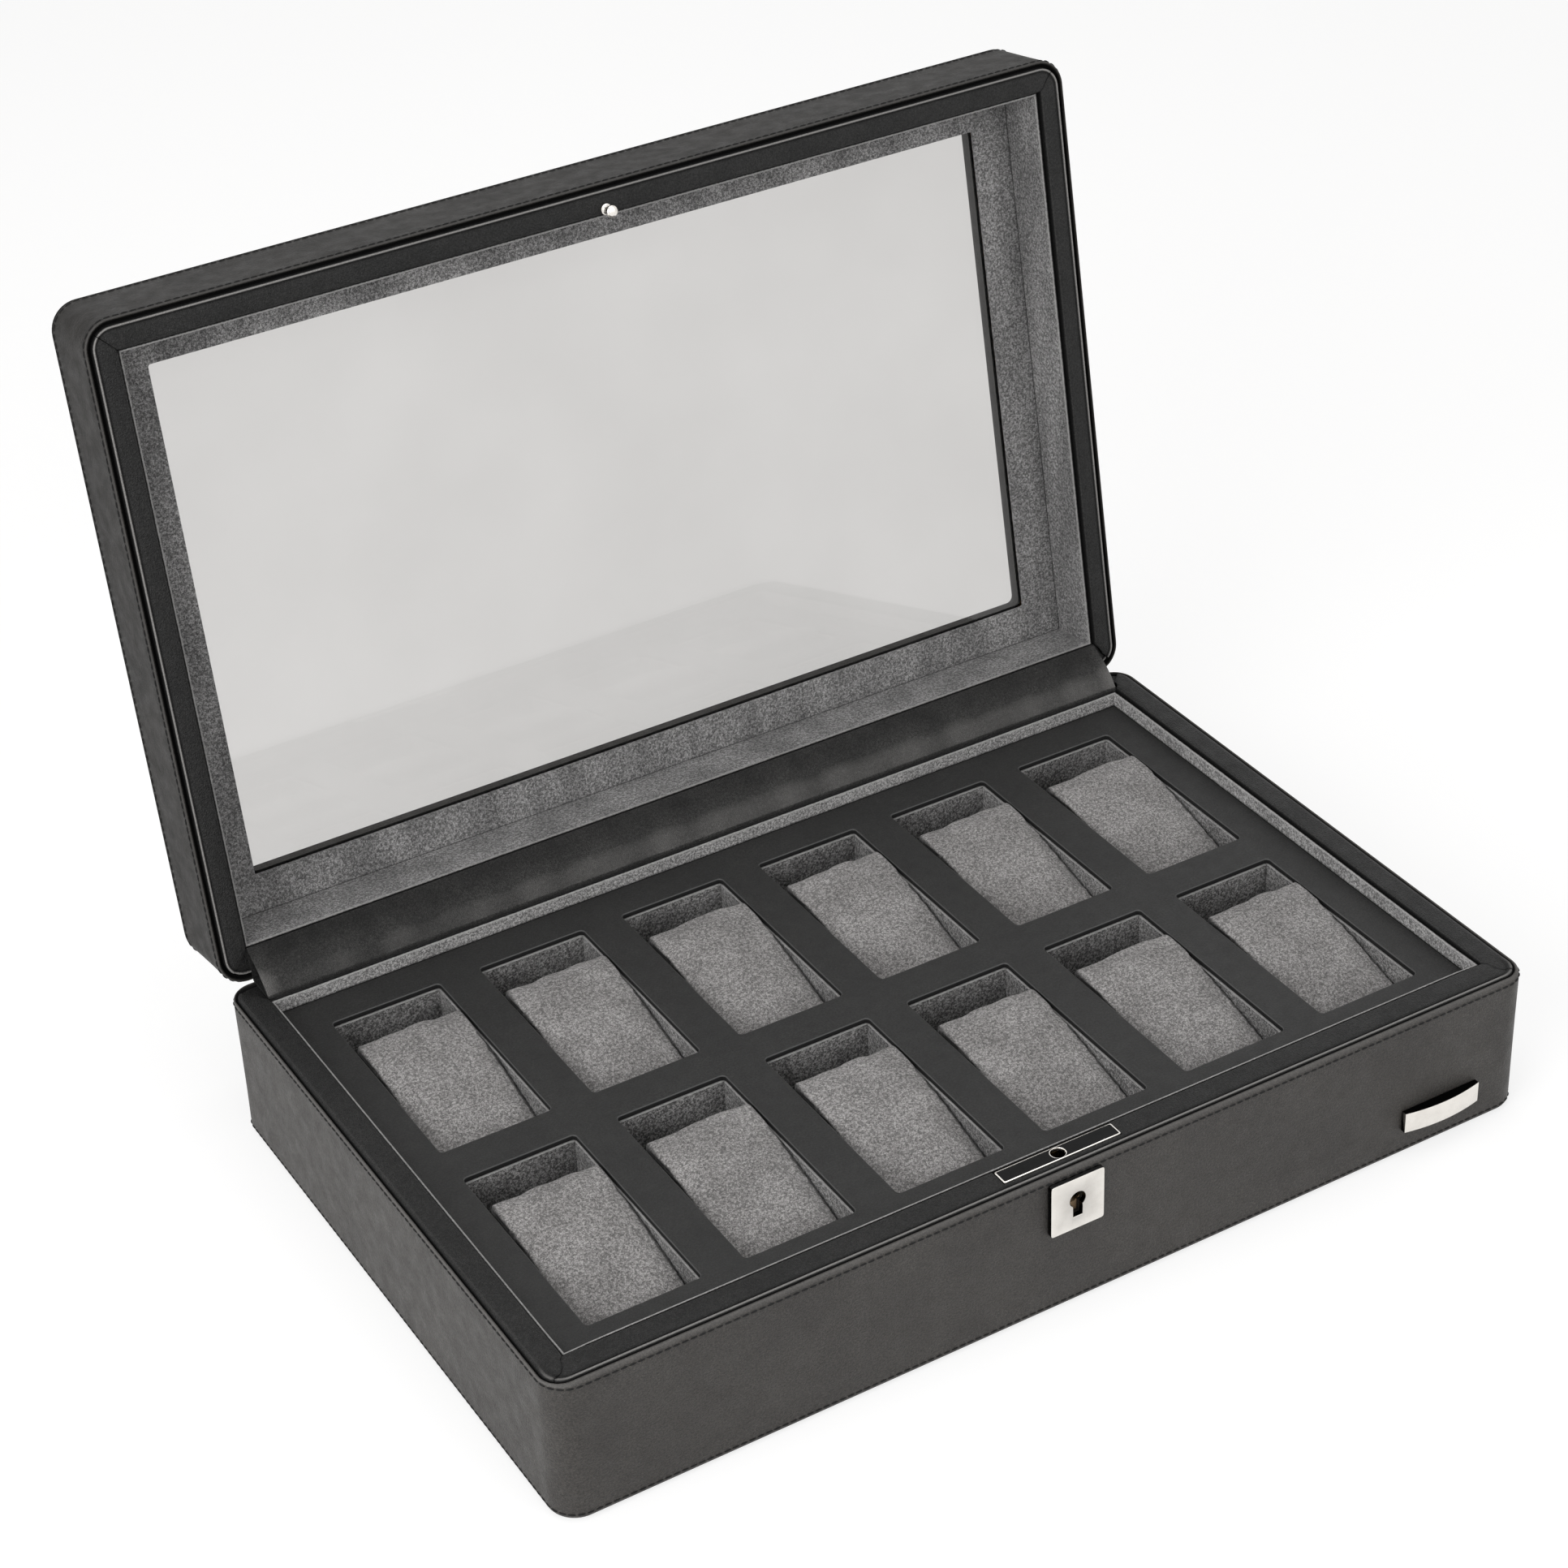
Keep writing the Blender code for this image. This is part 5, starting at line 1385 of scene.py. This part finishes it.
# ---- hinge -----------------------------------------------------------------------------------
@dataclass
class HingeLeather:
    """The strip glued round the hinge and the wide flap that bridges both inner rim edges."""

    builder: Builder
    columns: int = 60

    def ribbon(self, line: Array, thickness: float, waves: float, seed: int) -> Array:
        """Give a line in the side view a thickness and carry it along the hinge.

        Rows go along the line on one face and back on the other, half the thickness to each
        side of it; columns go along X.

        Args:
            line: points (y, z) in millimetres.
            thickness: of the leather.
            waves: height of its unevenness.
            seed: chooses the unevenness.

        Returns:
            Points shaped rows by columns by three.
        """
        along = np.gradient(line, axis=0)
        along /= np.linalg.norm(along, axis=1, keepdims=True)
        normal = np.stack([-along[:, 1], along[:, 0]], axis=-1)
        half = CASE.width / 2 - CASE.hinge_end
        x = np.linspace(-half, half, self.columns)
        share = np.linspace(0, 1, len(line))
        swell = np.sin(math.pi * share)[:, None]
        places = np.stack(np.broadcast_arrays(x[None], line[:, :1], line[:, 1:]), axis=-1)
        move = waves * swell * (ripple(places, ((70, 900, 900, 0.6), (31, 40, 40, 0.4)), seed))
        front = line[:, None] + normal[:, None] * (thickness / 2 + move[..., None])
        back = line[:, None] - normal[:, None] * (thickness / 2 - move[..., None])
        both = np.concatenate([front, back[::-1]], axis=0)
        spread = np.broadcast_to(x[None, :, None], both.shape[:2] + (1,))
        return np.concatenate([spread, both], axis=-1)

    def wear(self, grid: Array, count: int) -> Array:
        """Tone of the flap: painted shade high up and a painted highlight low down, where the bulge
        turns from the light and towards it; darker towards the left; a painted highlight on the folds
        at its ends; painted shade along its low edge; and a faint random mottle.

        Args:
            grid: the flap's points.
            count: rows on one face.

        Returns:
            Tones, shaped like the grid's rows and columns.
        """
        share = np.linspace(0, 1, count)
        up = np.concatenate([share, share[::-1]])[:, None]
        half = CASE.width / 2 - CASE.hinge_end
        x = grid[..., 0]
        tone = 0.16 - 0.5 * smooth_step((up - 0.25) / 0.6) - 0.12 * smooth_step(-x / half)
        tone = tone + ripple(grid, ((26.0, 60.0, 60.0, 0.05), (9.0, 30.0, 30.0, 0.03)), 4)
        fold = bell((half - np.abs(x)) / 0.8)
        return np.clip(tone + 0.25 * fold - 0.5 * (up < 0.06), -1, 1)

    def build(self) -> None:
        """Make the strip and the flap, each shaped bent from the base to the open lid."""
        inner = np.stack([np.linspace(106.85, 117.2, 14), np.full(14, 55.1)], -1)
        turn = np.radians(np.linspace(-82, 0, 12))
        axis = np.array([CASE.hinge_y, CASE.hinge_z])
        round_axis = axis + 0.92 * np.stack([np.cos(turn), np.sin(turn)], -1)
        shut = np.stack([np.zeros(14), np.linspace(117.2, 107.8, 14), np.full(14, 56.9)], -1)
        outer = CASE.opened(shut)[:, 1:]
        line = np.concatenate([inner, round_axis, outer])
        grid = self.ribbon(line, 0.6, 0.0, 5)
        tone = np.full(len(grid), -0.5)
        mesh = Surface.from_grid(grid, wrap_rows=True, cap_columns=True, tone=tone).mesh("strip", 60)
        nodes = ("hinge_leaf_base", "hinge_fold", "hinge_leaf_lid")
        strip = self.builder.add("hinge_strip", mesh, "hinge", Slot.HINGE_LEATHER, None, nodes)
        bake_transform(strip)

        start, end = np.array([107.3, 56.1]), np.array([120.5, 66.45])
        share = np.linspace(0, 1, 26)
        inward = np.array([-(end - start)[1], (end - start)[0]])
        inward /= np.linalg.norm(inward)
        bulge = 1.15 * np.sin(math.pi * share**0.85)
        span = start + (end - start) * share[:, None] + inward * bulge[:, None]
        low = np.array([(106.95, 54.95), (106.98, 55.5)])
        high = CASE.opened(np.array([(0, 107.55, 56.45), (0, 107.5, 57.1)]))[:, 1:]
        line = np.concatenate([low, span, high])
        grid = self.ribbon(line, 0.9, 0.28, 8)
        tone = self.wear(grid, len(line))
        mesh = Surface.from_grid(grid, wrap_rows=True, cap_columns=True, tone=tone).mesh("flap", 60)
        nodes = ("hinge_flap",)
        flap = self.builder.add("hinge_gusset", mesh, "hinge", Slot.HINGE_LEATHER, None, nodes)
        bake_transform(flap)


# ---- lid -------------------------------------------------------------------------------------
# Tones of the lid sections: painted shade in the gaps and stitch grooves, and a painted highlight on the
# rolled edge and along the band's bead.
LID_SKIN = (
    (3.4, 2.45, -1.0), (1.2, 2.4, -1.0), (1.15, 1.0, -0.9), (0.9, 0.72, -0.2), (0.6, 0.66, 0.1),
    (0.3, 0.8, 0.16), (0.12, 1.1, 0.08), (0.08, 1.5, 0.0), (0.14, 1.9, -0.12), (0.03, 2.3, 0.0),
    (0.0, 3.0, 0.0), (0.0, 10.0, 0.0), (0.0, 20.0, 0.0), (0.0, 28.6, 0.0), (0.02, 29.2, 0.0),
    (0.14, 29.6, -0.12), (0.03, 30.0, 0.0), (0.0, 30.4, 0.0), (0.1, 30.98, -0.6),
    (1.2, 31.0, -1.0), (1.3, 20.0, -1.0),
)
LID_BAND = (
    (2.45, -2.6, -1.0), (2.45, -0.9, -1.0), (2.5, -0.45, -0.4), (2.68, -0.12, 0.5),
    (2.95, 0.0, 0.9), (3.25, -0.12, 0.5), (3.5, -0.34, -0.3), (3.8, -0.42, -0.7),
    (4.15, -0.24, -0.2), (4.75, -0.06, 0.0), (6.0, 0.0, 0.0),
)


@dataclass
class Lid:
    """Coverings of the lid, its lining, stitches and stud."""

    builder: Builder
    widths: dict[Side, float] = field(
        default_factory=lambda: {Side.FRONT: 10.9, Side.RIGHT: 10.1, Side.REAR: 11.7, Side.LEFT: 10.7}
    )
    window: tuple[float, float, float, float] = (-161.0, 161.0, -94.3, 92.7)
    window_radius: float = 2.5

    def add(
        self, name: str, grid: Array, finish: str, slot: Slot, nodes: Sequence[str], **shape: object
    ) -> None:
        """Turn a grid of the shut lid open and make it a piece; shape says how the grid closes."""
        surface = Surface.from_grid(CASE.opened(grid), **shape)
        self.builder.add(name, surface.mesh(name, 55), finish, slot, "lid", nodes)

    def build(self) -> None:
        """Make every piece of the lid."""
        self.skin()
        self.top()
        self.bands()
        self.lining()
        self.stud()

    def skin(self) -> None:
        """Side leather of the lid and its two rows of stitches."""
        inset, height, tone = np.array(LID_SKIN).T
        flat = closed_loops(CASE.rows(inset, inset, inset, CORNER_ENDS, 46))
        grid = with_height(flat, CASE.lid_rim_z + height)
        kind = Stitching()
        rows = [kind.row(grid[index], loop_normals(grid[index])) for index in (8, 15)]
        thread = Surface.joined(rows)
        thread.points = CASE.opened(thread.points)
        grid = waved(grid, low=60, high=84, ease=4, seed=9)
        nodes = ("lid_side_leather",)
        self.add("lid_side_skin", grid, "smooth_lid", Slot.SMOOTH_LEATHER, nodes, **RING, tone=tone)
        self.builder.add(
            "lid_stitching", thread.mesh("lid_stitches", 80, 1e-6), "thread", Slot.SMOOTH_LEATHER, "lid"
        )

    def top(self) -> None:
        """Top leather: rolled over the outer edge and down into the window."""
        roll = np.radians(np.linspace(180, 90, 5))
        out_inset = np.concatenate([[0.05], 1.1 + 1.1 * np.cos(roll), [3.0, 9.0]])
        out_fall = np.concatenate([[1.2], 1.1 - 1.1 * np.sin(roll), [0.0, 0.0]])
        back = np.radians(np.linspace(90, 0, 5))
        in_grow = np.concatenate([[8.0, 2.5], 1.0 - 1.0 * np.cos(back), [0.0, 0.0, 1.2, 1.2]])
        in_fall = np.concatenate([[0.0, 0.0], 1.0 - 1.0 * np.sin(back), [2.0, 5.12, 5.12, 1.2]])
        outer = CASE.rectangles(out_inset, out_inset, out_inset)
        x0, x1, y0, y1 = self.window
        inner = np.stack([x0 - in_grow, x1 + in_grow, y0 - in_grow, y1 + in_grow], -1)
        radii = np.concatenate([np.maximum(CASE.corner - out_inset, 1.0), self.window_radius + in_grow])
        flat = closed_loops(side_rows(np.vstack([outer, inner]), radii, CORNER_ENDS, 46))
        grid = with_height(flat, CASE.lid_top_z - np.concatenate([out_fall, in_fall]))
        # Painted light in the window: the wall down into it a little lighter, painted shade where the
        # leather turns under, and a faint painted highlight on its roll.
        window_tone = [0.14, 0.14, -1.0, -1.0]
        tone = np.concatenate([np.zeros(len(out_fall) + 2), np.full(len(back), 0.04), window_tone])
        nodes = ("lid_top_leather",)
        self.add("lid_top_skin", grid, "smooth_lid", Slot.SMOOTH_LEATHER, nodes, **RING, tone=tone)

    def bands(self) -> None:
        """Four mitred rim bands with a beaded outer edge."""
        outer = {side: LID_BAND for side in Side}
        for side in Side:
            word = side.name.lower()
            grid, tone = band(side, outer, self.widths, CASE.rear_drop)
            grid[..., 2] = CASE.lid_rim_z - grid[..., 2]
            grid[..., 2] += 0.05 - ripple(grid, BAND_WAVES, 20 + side.value)
            closed = {"wrap_rows": True, "cap_columns": True, "tone": tone}
            nodes = (f"lid_rim_leather_{word}",)
            self.add(f"lid_rim_band_{word}", grid, "rim", Slot.RIM_LEATHER, nodes, **closed)

    def lining(self) -> None:
        """Suede on the lid's walls, with its pale cut edge towards the rim."""
        inset, height, tone, _ = lining_rows(78.6, 57.95, 78.5).T
        flat = closed_loops(CASE.rows(11.0 + inset, 11.2 + inset, 12.0 + inset, SMALL_ENDS, 60))
        grid = with_height(flat, height)
        self.add("lid_wall_suede", grid, "suede", Slot.SUEDE, ("lid_wall_lining",), **RING, tone=tone)

    def stud(self) -> None:
        """Turned stud: a flared foot, a neck and a domed head, as radii along its axis."""
        profile = np.array(
            [(0.02, 0.3), (1.9, 0.3), (2.0, 0.0), (1.9, -0.25), (1.25, -0.4), (1.1, -0.7)]
            + [(1.1, -2.9), (1.25, -3.35), (1.9, -3.6), (2.1, -3.9), (2.1, -4.5), (1.95, -4.85)]
            + [(1.5, -5.1), (0.8, -5.2), (0.02, -5.2)]
        )
        turn = np.linspace(0, 2 * math.pi, 41)[:-1]
        x = profile[:, :1] * np.cos(turn)
        y = profile[:, :1] * np.sin(turn) + LOCK_Y
        z = np.broadcast_to(CASE.lid_rim_z - 0.3 + profile[:, 1:], x.shape)
        grid = np.stack([x, y, z], axis=-1)
        nodes, closed = ("lid_stud",), {"wrap_columns": True, "cap_rows": True}
        self.add("lid_stud_turned", grid, "steel", Slot.POLISHED_STEEL, nodes, **closed)


# ---- metal fittings --------------------------------------------------------------------------
@dataclass
class Fittings:
    """Lock plate, keyhole plate and the bare plate at the right of the front."""

    builder: Builder

    def build(self) -> None:
        """Make the three fittings."""
        self.lock_plate()
        self.keyhole_plate()
        self.name_plate()

    def plate_loops(self, rows: Sequence[tuple[float, float, float, float]]) -> Surface:
        """Closed ring of loops about the stud: half length, half width, radius, height of each."""
        half_x, half_y, radius, height = np.array(rows).T
        rects = np.stack([-half_x, half_x, LOCK_Y - half_y, LOCK_Y + half_y], axis=-1)
        loops = closed_loops(side_rows(rects, radius, SMALL_ENDS, 12))
        return Surface.from_grid(with_height(loops, height), **RING)

    def lock_plate(self) -> None:
        """Bright plate with a black enamelled face and a bright ring round the stud's hole."""
        frame = self.plate_loops(
            [(2.5, 2.5, 2.49, 54.8), (2.5, 2.5, 2.49, 55.85), (2.6, 2.6, 2.59, 56.0)]
            + [(22.3, 2.9, 0.5, 56.0), (22.45, 3.05, 0.6, 55.93), (22.5, 3.1, 0.6, 55.7)]
            + [(22.5, 3.1, 0.6, 54.8)]
        )
        mesh = frame.mesh("lock_plate", 40)
        self.builder.add("lock_plate_edge", mesh, "steel", Slot.POLISHED_STEEL, "base", ("lock_plate",))
        face = self.plate_loops(
            [(2.9, 2.6, 2.59, 55.9), (2.9, 2.6, 2.59, 56.03)]
            + [(22.0, 2.62, 0.4, 56.03), (22.0, 2.62, 0.4, 55.9)]
        )
        mesh = face.mesh("lock_face", 40)
        self.builder.add("lock_plate_face", mesh, "enamel", Slot.DARK_NICKEL, "base")

    def keyhole_plate(self) -> None:
        """Square plate with the keyhole through it.

        Loops are drawn by the angle about the key's axis. The hole's radius is the larger of the
        round hole and the slot, which is min(reach / cos, half width / sin) below the axis. The
        plate's outline is a square with slightly softened corners.
        """
        turn = np.radians(np.arange(0, 360, 2.5))
        down, side = np.cos(turn), np.abs(np.sin(turn))
        reach, half_slot, hole_radius = 6.7, 1.8, 3.0
        key_z, centre_z, half = 44.7, 43.2, 10.2
        slot = np.minimum(reach / np.maximum(down, 1e-6), half_slot / np.maximum(side, 1e-6))
        hole = np.maximum(hole_radius, np.where(down > 0, slot, 0.0))
        direction = np.stack([np.sin(turn), -np.cos(turn)], -1)

        def square(size: float) -> Array:
            """Outline with nearly sharp corners, this far from its middle at the sides."""
            power = (np.abs(direction) ** 30).sum(-1) ** (-1 / 30)
            return direction * (size * power)[:, None] + np.array([0.0, centre_z])

        def keyhole(grow: float) -> Array:
            """Outline of the keyhole, grown by this much."""
            return direction * (hole + grow)[:, None] + np.array([0.0, key_z])

        rows = [(keyhole(0.0), 0.0), (keyhole(0.0), 1.68), (keyhole(0.18), 1.85)]
        rows += [(square(half - 0.2), 1.85), (square(half - 0.05), 1.8)]
        rows += [(square(half), 1.65), (square(half), 0.0)]
        grid = np.stack([np.insert(flat, 1, PLATE_BACK - out, axis=1) for flat, out in rows])
        # Tones: painted shade on the walls of the keyhole, and a painted dark reflection on the plate's
        # sides.
        tone = np.array([-1.0, -1.0, -0.3, 0.0, 0.0, -1.0, -1.0])
        mesh = Surface.from_grid(grid, **RING, tone=tone).mesh("keyhole_plate", 30)
        self.builder.add("keyhole_plate", mesh, "steel", Slot.POLISHED_STEEL, "base", ("escutcheon",))

    def name_plate(self) -> None:
        """Bare plate: a block with a flat back, its face bowed by bow (1 - (u / half)^2)."""
        half, tall, ends, bow = 15.75, 4.0, 1.95, 1.8
        middle_x, middle_z = 150.15, 15.2
        u = np.linspace(-half, half, 49)
        face = ends + bow * (1 - (u / half) ** 2)
        section = [(-tall, 0.0), (-tall, -0.22), (0.05 - tall, -0.06), (0.2 - tall, 0.0)]
        section += [(tall - 0.2, 0.0), (tall - 0.05, -0.06), (tall, -0.22), (tall, 0.0)]
        rows = []
        for number, (across, sunk) in enumerate(section):
            out = np.zeros_like(face) if number in (0, len(section) - 1) else face + sunk
            place = [u + middle_x, NAMEPLATE_BACK - out, np.full(len(u), middle_z + across)]
            rows.append(np.column_stack(place))
        # Tones: a painted dark reflection on the plate's top, bottom and back.
        tone = np.array([-1.0, -1.0, 0.0, 0.0, 0.0, 0.0, -1.0, -1.0])
        surface = Surface.from_grid(np.stack(rows), wrap_rows=True, cap_columns=True, tone=tone)
        mesh = surface.mesh("plate", 35)
        self.builder.add("bare_plate", mesh, "steel", Slot.POLISHED_STEEL, "base", ("nameplate",))


# ---- frame, stage and camera -----------------------------------------------------------------
WELL_NODES = ("well_", "long_divider", "cross_divider")
FINISH_OF_SLOT = {
    Slot.SMOOTH_LEATHER: "smooth",
    Slot.RIM_LEATHER: "rim",
    Slot.TRAY_LEATHER: "tray",
    Slot.HINGE_LEATHER: "hinge",
    Slot.SUEDE: "suede",
    Slot.CUSHION_SUEDE: "cushion",
    Slot.BOARD: "board",
    Slot.FELT: "felt",
    Slot.GLASS: "glass",
    Slot.POLISHED_STEEL: "steel",
    Slot.DARK_NICKEL: "enamel",
    Slot.LOCK_STEEL: "lock_steel",
}


def dress_nodes(nodes: dict[str, bpy.types.Object], record: dict, palette: Palette) -> None:
    """Give every CAD node the finish of its slot, and the wells' walls one of their own.

    Args:
        nodes: the CAD nodes by name.
        record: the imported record, whose subparts name the slots.
        palette: the finishes.
    """
    slots = {part["node"]: part["material_slot"] for part in record["subparts"]}
    for name, node in nodes.items():
        word = "well" if name.startswith(WELL_NODES) else FINISH_OF_SLOT[Slot(slots[name])]
        finish = palette[word]
        if not node.material_slots:
            node.data.materials.append(finish)
        for held in node.material_slots:
            held.material = finish


@dataclass
class Studio:
    """Pale floor, soft lamps, the world and the camera."""

    position: tuple[float, float, float] = (-0.5117, -0.8429, 0.7902)
    right: tuple[float, float, float] = (0.85622, -0.51535, -0.03614)
    up: tuple[float, float, float] = (0.31071, 0.4578, 0.83299)
    back: tuple[float, float, float] = (-0.41274, -0.72445, 0.5521)
    lens: float = 82.93
    sensor: float = 36.0

    def build(self) -> None:
        """Set up the stage."""
        self.camera()
        self.world()
        self.floor()
        self.lamp("key_left", (-1.35, -0.55, 0.75), 1.2, 16.0)
        self.lamp("fill_front", (0.4, -1.6, 0.8), 1.4, 9.0)
        self.lamp("top_soft", (0.1, 0.3, 1.9), 1.6, 10.0)

    def camera(self) -> None:
        """Camera at the photograph's place, from its right, up and back directions."""
        data = bpy.data.cameras.new("camera")
        data.sensor_width = self.sensor
        data.lens = self.lens
        data.clip_start, data.clip_end = 0.05, 50.0
        camera = bpy.data.objects.new("camera", data)
        rows = np.array([self.right, self.up, self.back]).T
        matrix = Matrix.Identity(4)
        for index in range(3):
            matrix[index] = (*rows[index].tolist(), self.position[index])
        camera.matrix_world = matrix
        bpy.context.scene.collection.objects.link(camera)
        bpy.context.scene.camera = camera

    def seen(self, nodes: bpy.types.Nodes, links: bpy.types.NodeLinks) -> Socket:
        """Share that is 1 for rays from the camera, a reflection or through glass."""
        path = nodes.new("ShaderNodeLightPath")
        total = path.outputs["Is Camera Ray"]
        for word in ("Is Glossy Ray", "Is Transmission Ray"):
            node = nodes.new("ShaderNodeMath")
            node.operation = "MAXIMUM"
            links.new(total, node.inputs[0])
            links.new(path.outputs[word], node.inputs[1])
            total = node.outputs[0]
        return total

    def world(self) -> None:
        """Even soft light, which looks white to the camera."""
        world = bpy.data.worlds.new("studio")
        world.use_nodes = True
        bpy.context.scene.world = world
        nodes, links = world.node_tree.nodes, world.node_tree.links
        light = nodes["Background"]
        light.inputs["Strength"].default_value = 0.32
        light.inputs["Color"].default_value = (1.0, 0.99, 0.975, 1.0)
        white = nodes.new("ShaderNodeBackground")
        white.inputs["Strength"].default_value = 1.0
        white.inputs["Color"].default_value = (1, 1, 1, 1)
        mix = nodes.new("ShaderNodeMixShader")
        links.new(self.seen(nodes, links), mix.inputs[0])
        links.new(light.outputs[0], mix.inputs[1])
        links.new(white.outputs[0], mix.inputs[2])
        links.new(mix.outputs[0], nodes["World Output"].inputs["Surface"])

    def floor(self) -> None:
        """White floor that keeps the object's shadow: diffuse, plus a little light when seen."""
        material = bpy.data.materials.new("floor")
        material.use_nodes = True
        nodes, links = material.node_tree.nodes, material.node_tree.links
        nodes.clear()
        plain = nodes.new("ShaderNodeBsdfDiffuse")
        plain.inputs["Color"].default_value = (0.8, 0.8, 0.8, 1)
        shown = nodes.new("ShaderNodeBsdfDiffuse")
        shown.inputs["Color"].default_value = (0.42, 0.42, 0.42, 1)
        glow = nodes.new("ShaderNodeEmission")
        glow.inputs["Strength"].default_value = 0.70
        total = nodes.new("ShaderNodeAddShader")
        links.new(shown.outputs[0], total.inputs[0])
        links.new(glow.outputs[0], total.inputs[1])
        mix = nodes.new("ShaderNodeMixShader")
        links.new(self.seen(nodes, links), mix.inputs[0])
        links.new(plain.outputs[0], mix.inputs[1])
        links.new(total.outputs[0], mix.inputs[2])
        output = nodes.new("ShaderNodeOutputMaterial")
        links.new(mix.outputs[0], output.inputs["Surface"])
        mesh = bpy.data.meshes.new("floor")
        reach = 6.0
        edge = [(-reach, -reach, 0), (reach, -reach, 0), (reach, reach, 0), (-reach, reach, 0)]
        mesh.from_pydata(edge, [], [(0, 1, 2, 3)])
        mesh.materials.append(material)
        floor = bpy.data.objects.new("floor", mesh)
        floor.location.z = -0.0002
        bpy.context.scene.collection.objects.link(floor)

    def lamp(self, name: str, place: tuple[float, float, float], size: float, watts: float) -> None:
        """A square soft lamp of this size in metres and power in watts that faces the object."""
        data = bpy.data.lights.new(name, "AREA")
        data.shape = "SQUARE"
        data.size = size
        data.energy = watts
        lamp = bpy.data.objects.new(name, data)
        away = Matrix.Translation(place).translation
        turn = away.to_track_quat("Z", "Y")
        lamp.matrix_world = Matrix.Translation(place) @ turn.to_matrix().to_4x4()
        bpy.context.scene.collection.objects.link(lamp)


def corners(box: tuple) -> list[list[float]]:
    """Both corners of a box as plain lists of numbers."""
    return [[float(value) for value in corner] for corner in box]


def main() -> None:
    """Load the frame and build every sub-assembly."""
    logging.basicConfig(level=logging.INFO, format="%(message)s")
    bpy.context.scene.view_settings.view_transform = "Standard"
    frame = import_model()
    palette = Palette()
    builder = Builder(palette)
    Studio().build()
    dress_nodes(frame["nodes"], frame["record"], palette)
    tray = Tray(builder)
    BaseCovering(builder).build()
    tray.build()
    Cushions(builder, tray).build()
    HingeLeather(builder).build()
    Lid(builder).build()
    Fittings(builder).build()


if __name__ == "__main__":
    main()
